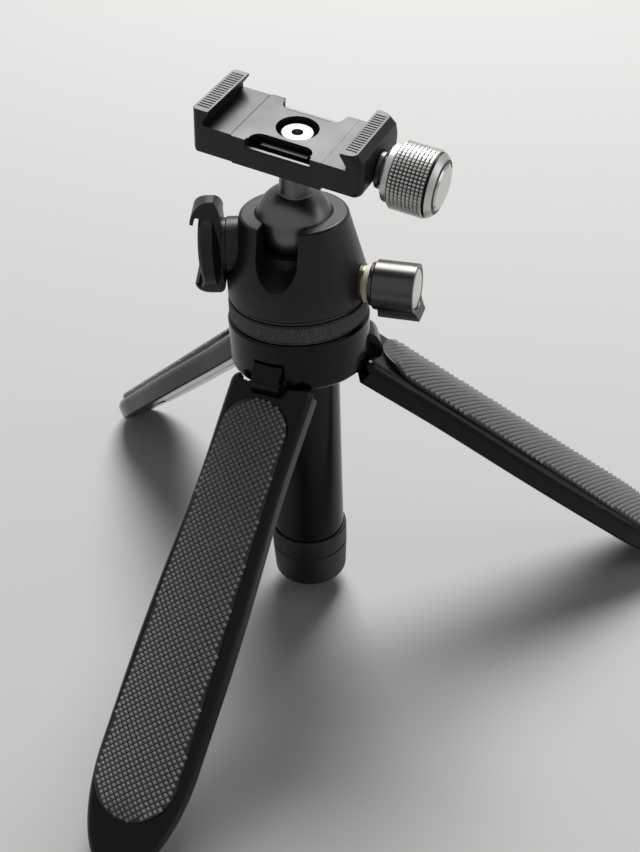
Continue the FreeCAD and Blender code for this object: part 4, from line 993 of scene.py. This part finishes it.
class MakeStudio(bpy.types.Operator):
    """Makes the floor, the soft lamps and the camera."""

    bl_idname = "mini_tripod.studio"
    bl_label = "Studio"

    def execute(self, context):
        scene = context.scene
        studio = scene.tripod_studio
        corners = [(x * FLOOR_HALF, y * FLOOR_HALF, 0) for x, y in ((-1, -1), (1, -1), (1, 1), (-1, 1))]
        mesh = bpy.data.meshes.new("floor")
        mesh.from_pydata(corners, [], [(0, 1, 2, 3)])
        floor = new_piece("floor", mesh)
        made = bpy.data.materials.new("floor")
        made.use_nodes = True
        shader = made.node_tree.nodes["Principled BSDF"]
        shader.inputs["Base Color"].default_value = rgba(studio.floor)
        shader.inputs["Roughness"].default_value = 1.0
        shader.inputs["Specular IOR Level"].default_value = 0.1
        mesh.materials.append(made)

        world = bpy.data.worlds.new("studio")
        world.use_nodes = True
        scene.world = world
        tree = world.node_tree
        tree.nodes.clear()
        path = tree.nodes.new("ShaderNodeLightPath").outputs
        looked_at = calc(tree, "MAXIMUM", path["Is Camera Ray"], path["Is Transmission Ray"])
        looked_at = calc(tree, "MAXIMUM", looked_at, path["Is Glossy Ray"])
        strength = add(tree, "ShaderNodeMapRange", {
            "Value": looked_at, "To Min": studio.sky, "To Max": studio.shown,
        })
        even = add(tree, "ShaderNodeBackground", {
            "Color": rgba(studio.backdrop), "Strength": strength.outputs[0],
        })
        end = tree.nodes.new("ShaderNodeOutputWorld")
        tree.links.new(even.outputs[0], end.inputs["Surface"])

        lamps = (
            ("key", studio.key, KEY_SIZE, KEY_PLACE),
            ("fill", studio.fill, FILL_SIZE, FILL_PLACE),
        )
        for name, power, size, place in lamps:
            light = bpy.data.lights.new(name, "AREA")
            light.energy = power
            light.size = size
            lamp = bpy.data.objects.new(name, light)
            scene.collection.objects.link(lamp)
            lamp.location = place
            lamp.rotation_euler = (LAMPS_AIM - place).to_track_quat("-Z", "Y").to_euler()

        data = bpy.data.cameras.new("camera")
        data.lens = studio.focal
        data.sensor_width = 36
        data.clip_start = 0.01
        camera = bpy.data.objects.new("camera", data)
        scene.collection.objects.link(camera)
        level = CAMERA_FORWARD.to_track_quat("-Z", "Y").to_matrix().to_4x4()
        place = Matrix.Translation(CAMERA_PLACE)
        camera.matrix_world = place @ level @ Matrix.Rotation(CAMERA_ROLL, 4, "Z")
        scene.camera = camera
        scene.view_settings.view_transform = "Standard"
        return {"FINISHED"}


class TripodPanel(bpy.types.Panel):
    """Lists the tripod's sizes, colours and pieces."""

    bl_idname = "VIEW3D_PT_mini_tripod"
    bl_label = "Mini tripod"
    bl_space_type = "VIEW_3D"
    bl_region_type = "UI"
    bl_category = "Mini tripod"

    def draw(self, context):
        for setting in SETTINGS:
            group = getattr(context.scene, setting)
            box = self.layout.box()
            for name in type(group).__annotations__:
                box.prop(group, name)
        for operator in OPERATORS:
            self.layout.operator(operator.bl_idname)


OPERATORS = (
    MakeFinishes, MakeStudio, MakeStand, MakeLegs, MakeLockRing,
    MakeHead, MakeLocks, MakeClamp, MakeClampKnob,
)
SETTINGS = {"tripod_finish": TripodFinish, "tripod_detail": TripodDetail, "tripod_studio": TripodStudio}


def register():
    for group in SETTINGS.values():
        bpy.utils.register_class(group)
    for operator in OPERATORS:
        bpy.utils.register_class(operator)
    bpy.utils.register_class(TripodPanel)
    for name, group in SETTINGS.items():
        setattr(bpy.types.Scene, name, bpy.props.PointerProperty(type=group))


def unregister():
    for name in SETTINGS:
        delattr(bpy.types.Scene, name)
    bpy.utils.unregister_class(TripodPanel)
    for operator in reversed(OPERATORS):
        bpy.utils.unregister_class(operator)
    for group in reversed(list(SETTINGS.values())):
        bpy.utils.unregister_class(group)


def main():
    register()
    for operator in OPERATORS:
        family, name = operator.bl_idname.split(".")
        getattr(getattr(bpy.ops, family), name)()


if __name__ == "__main__":
    main()
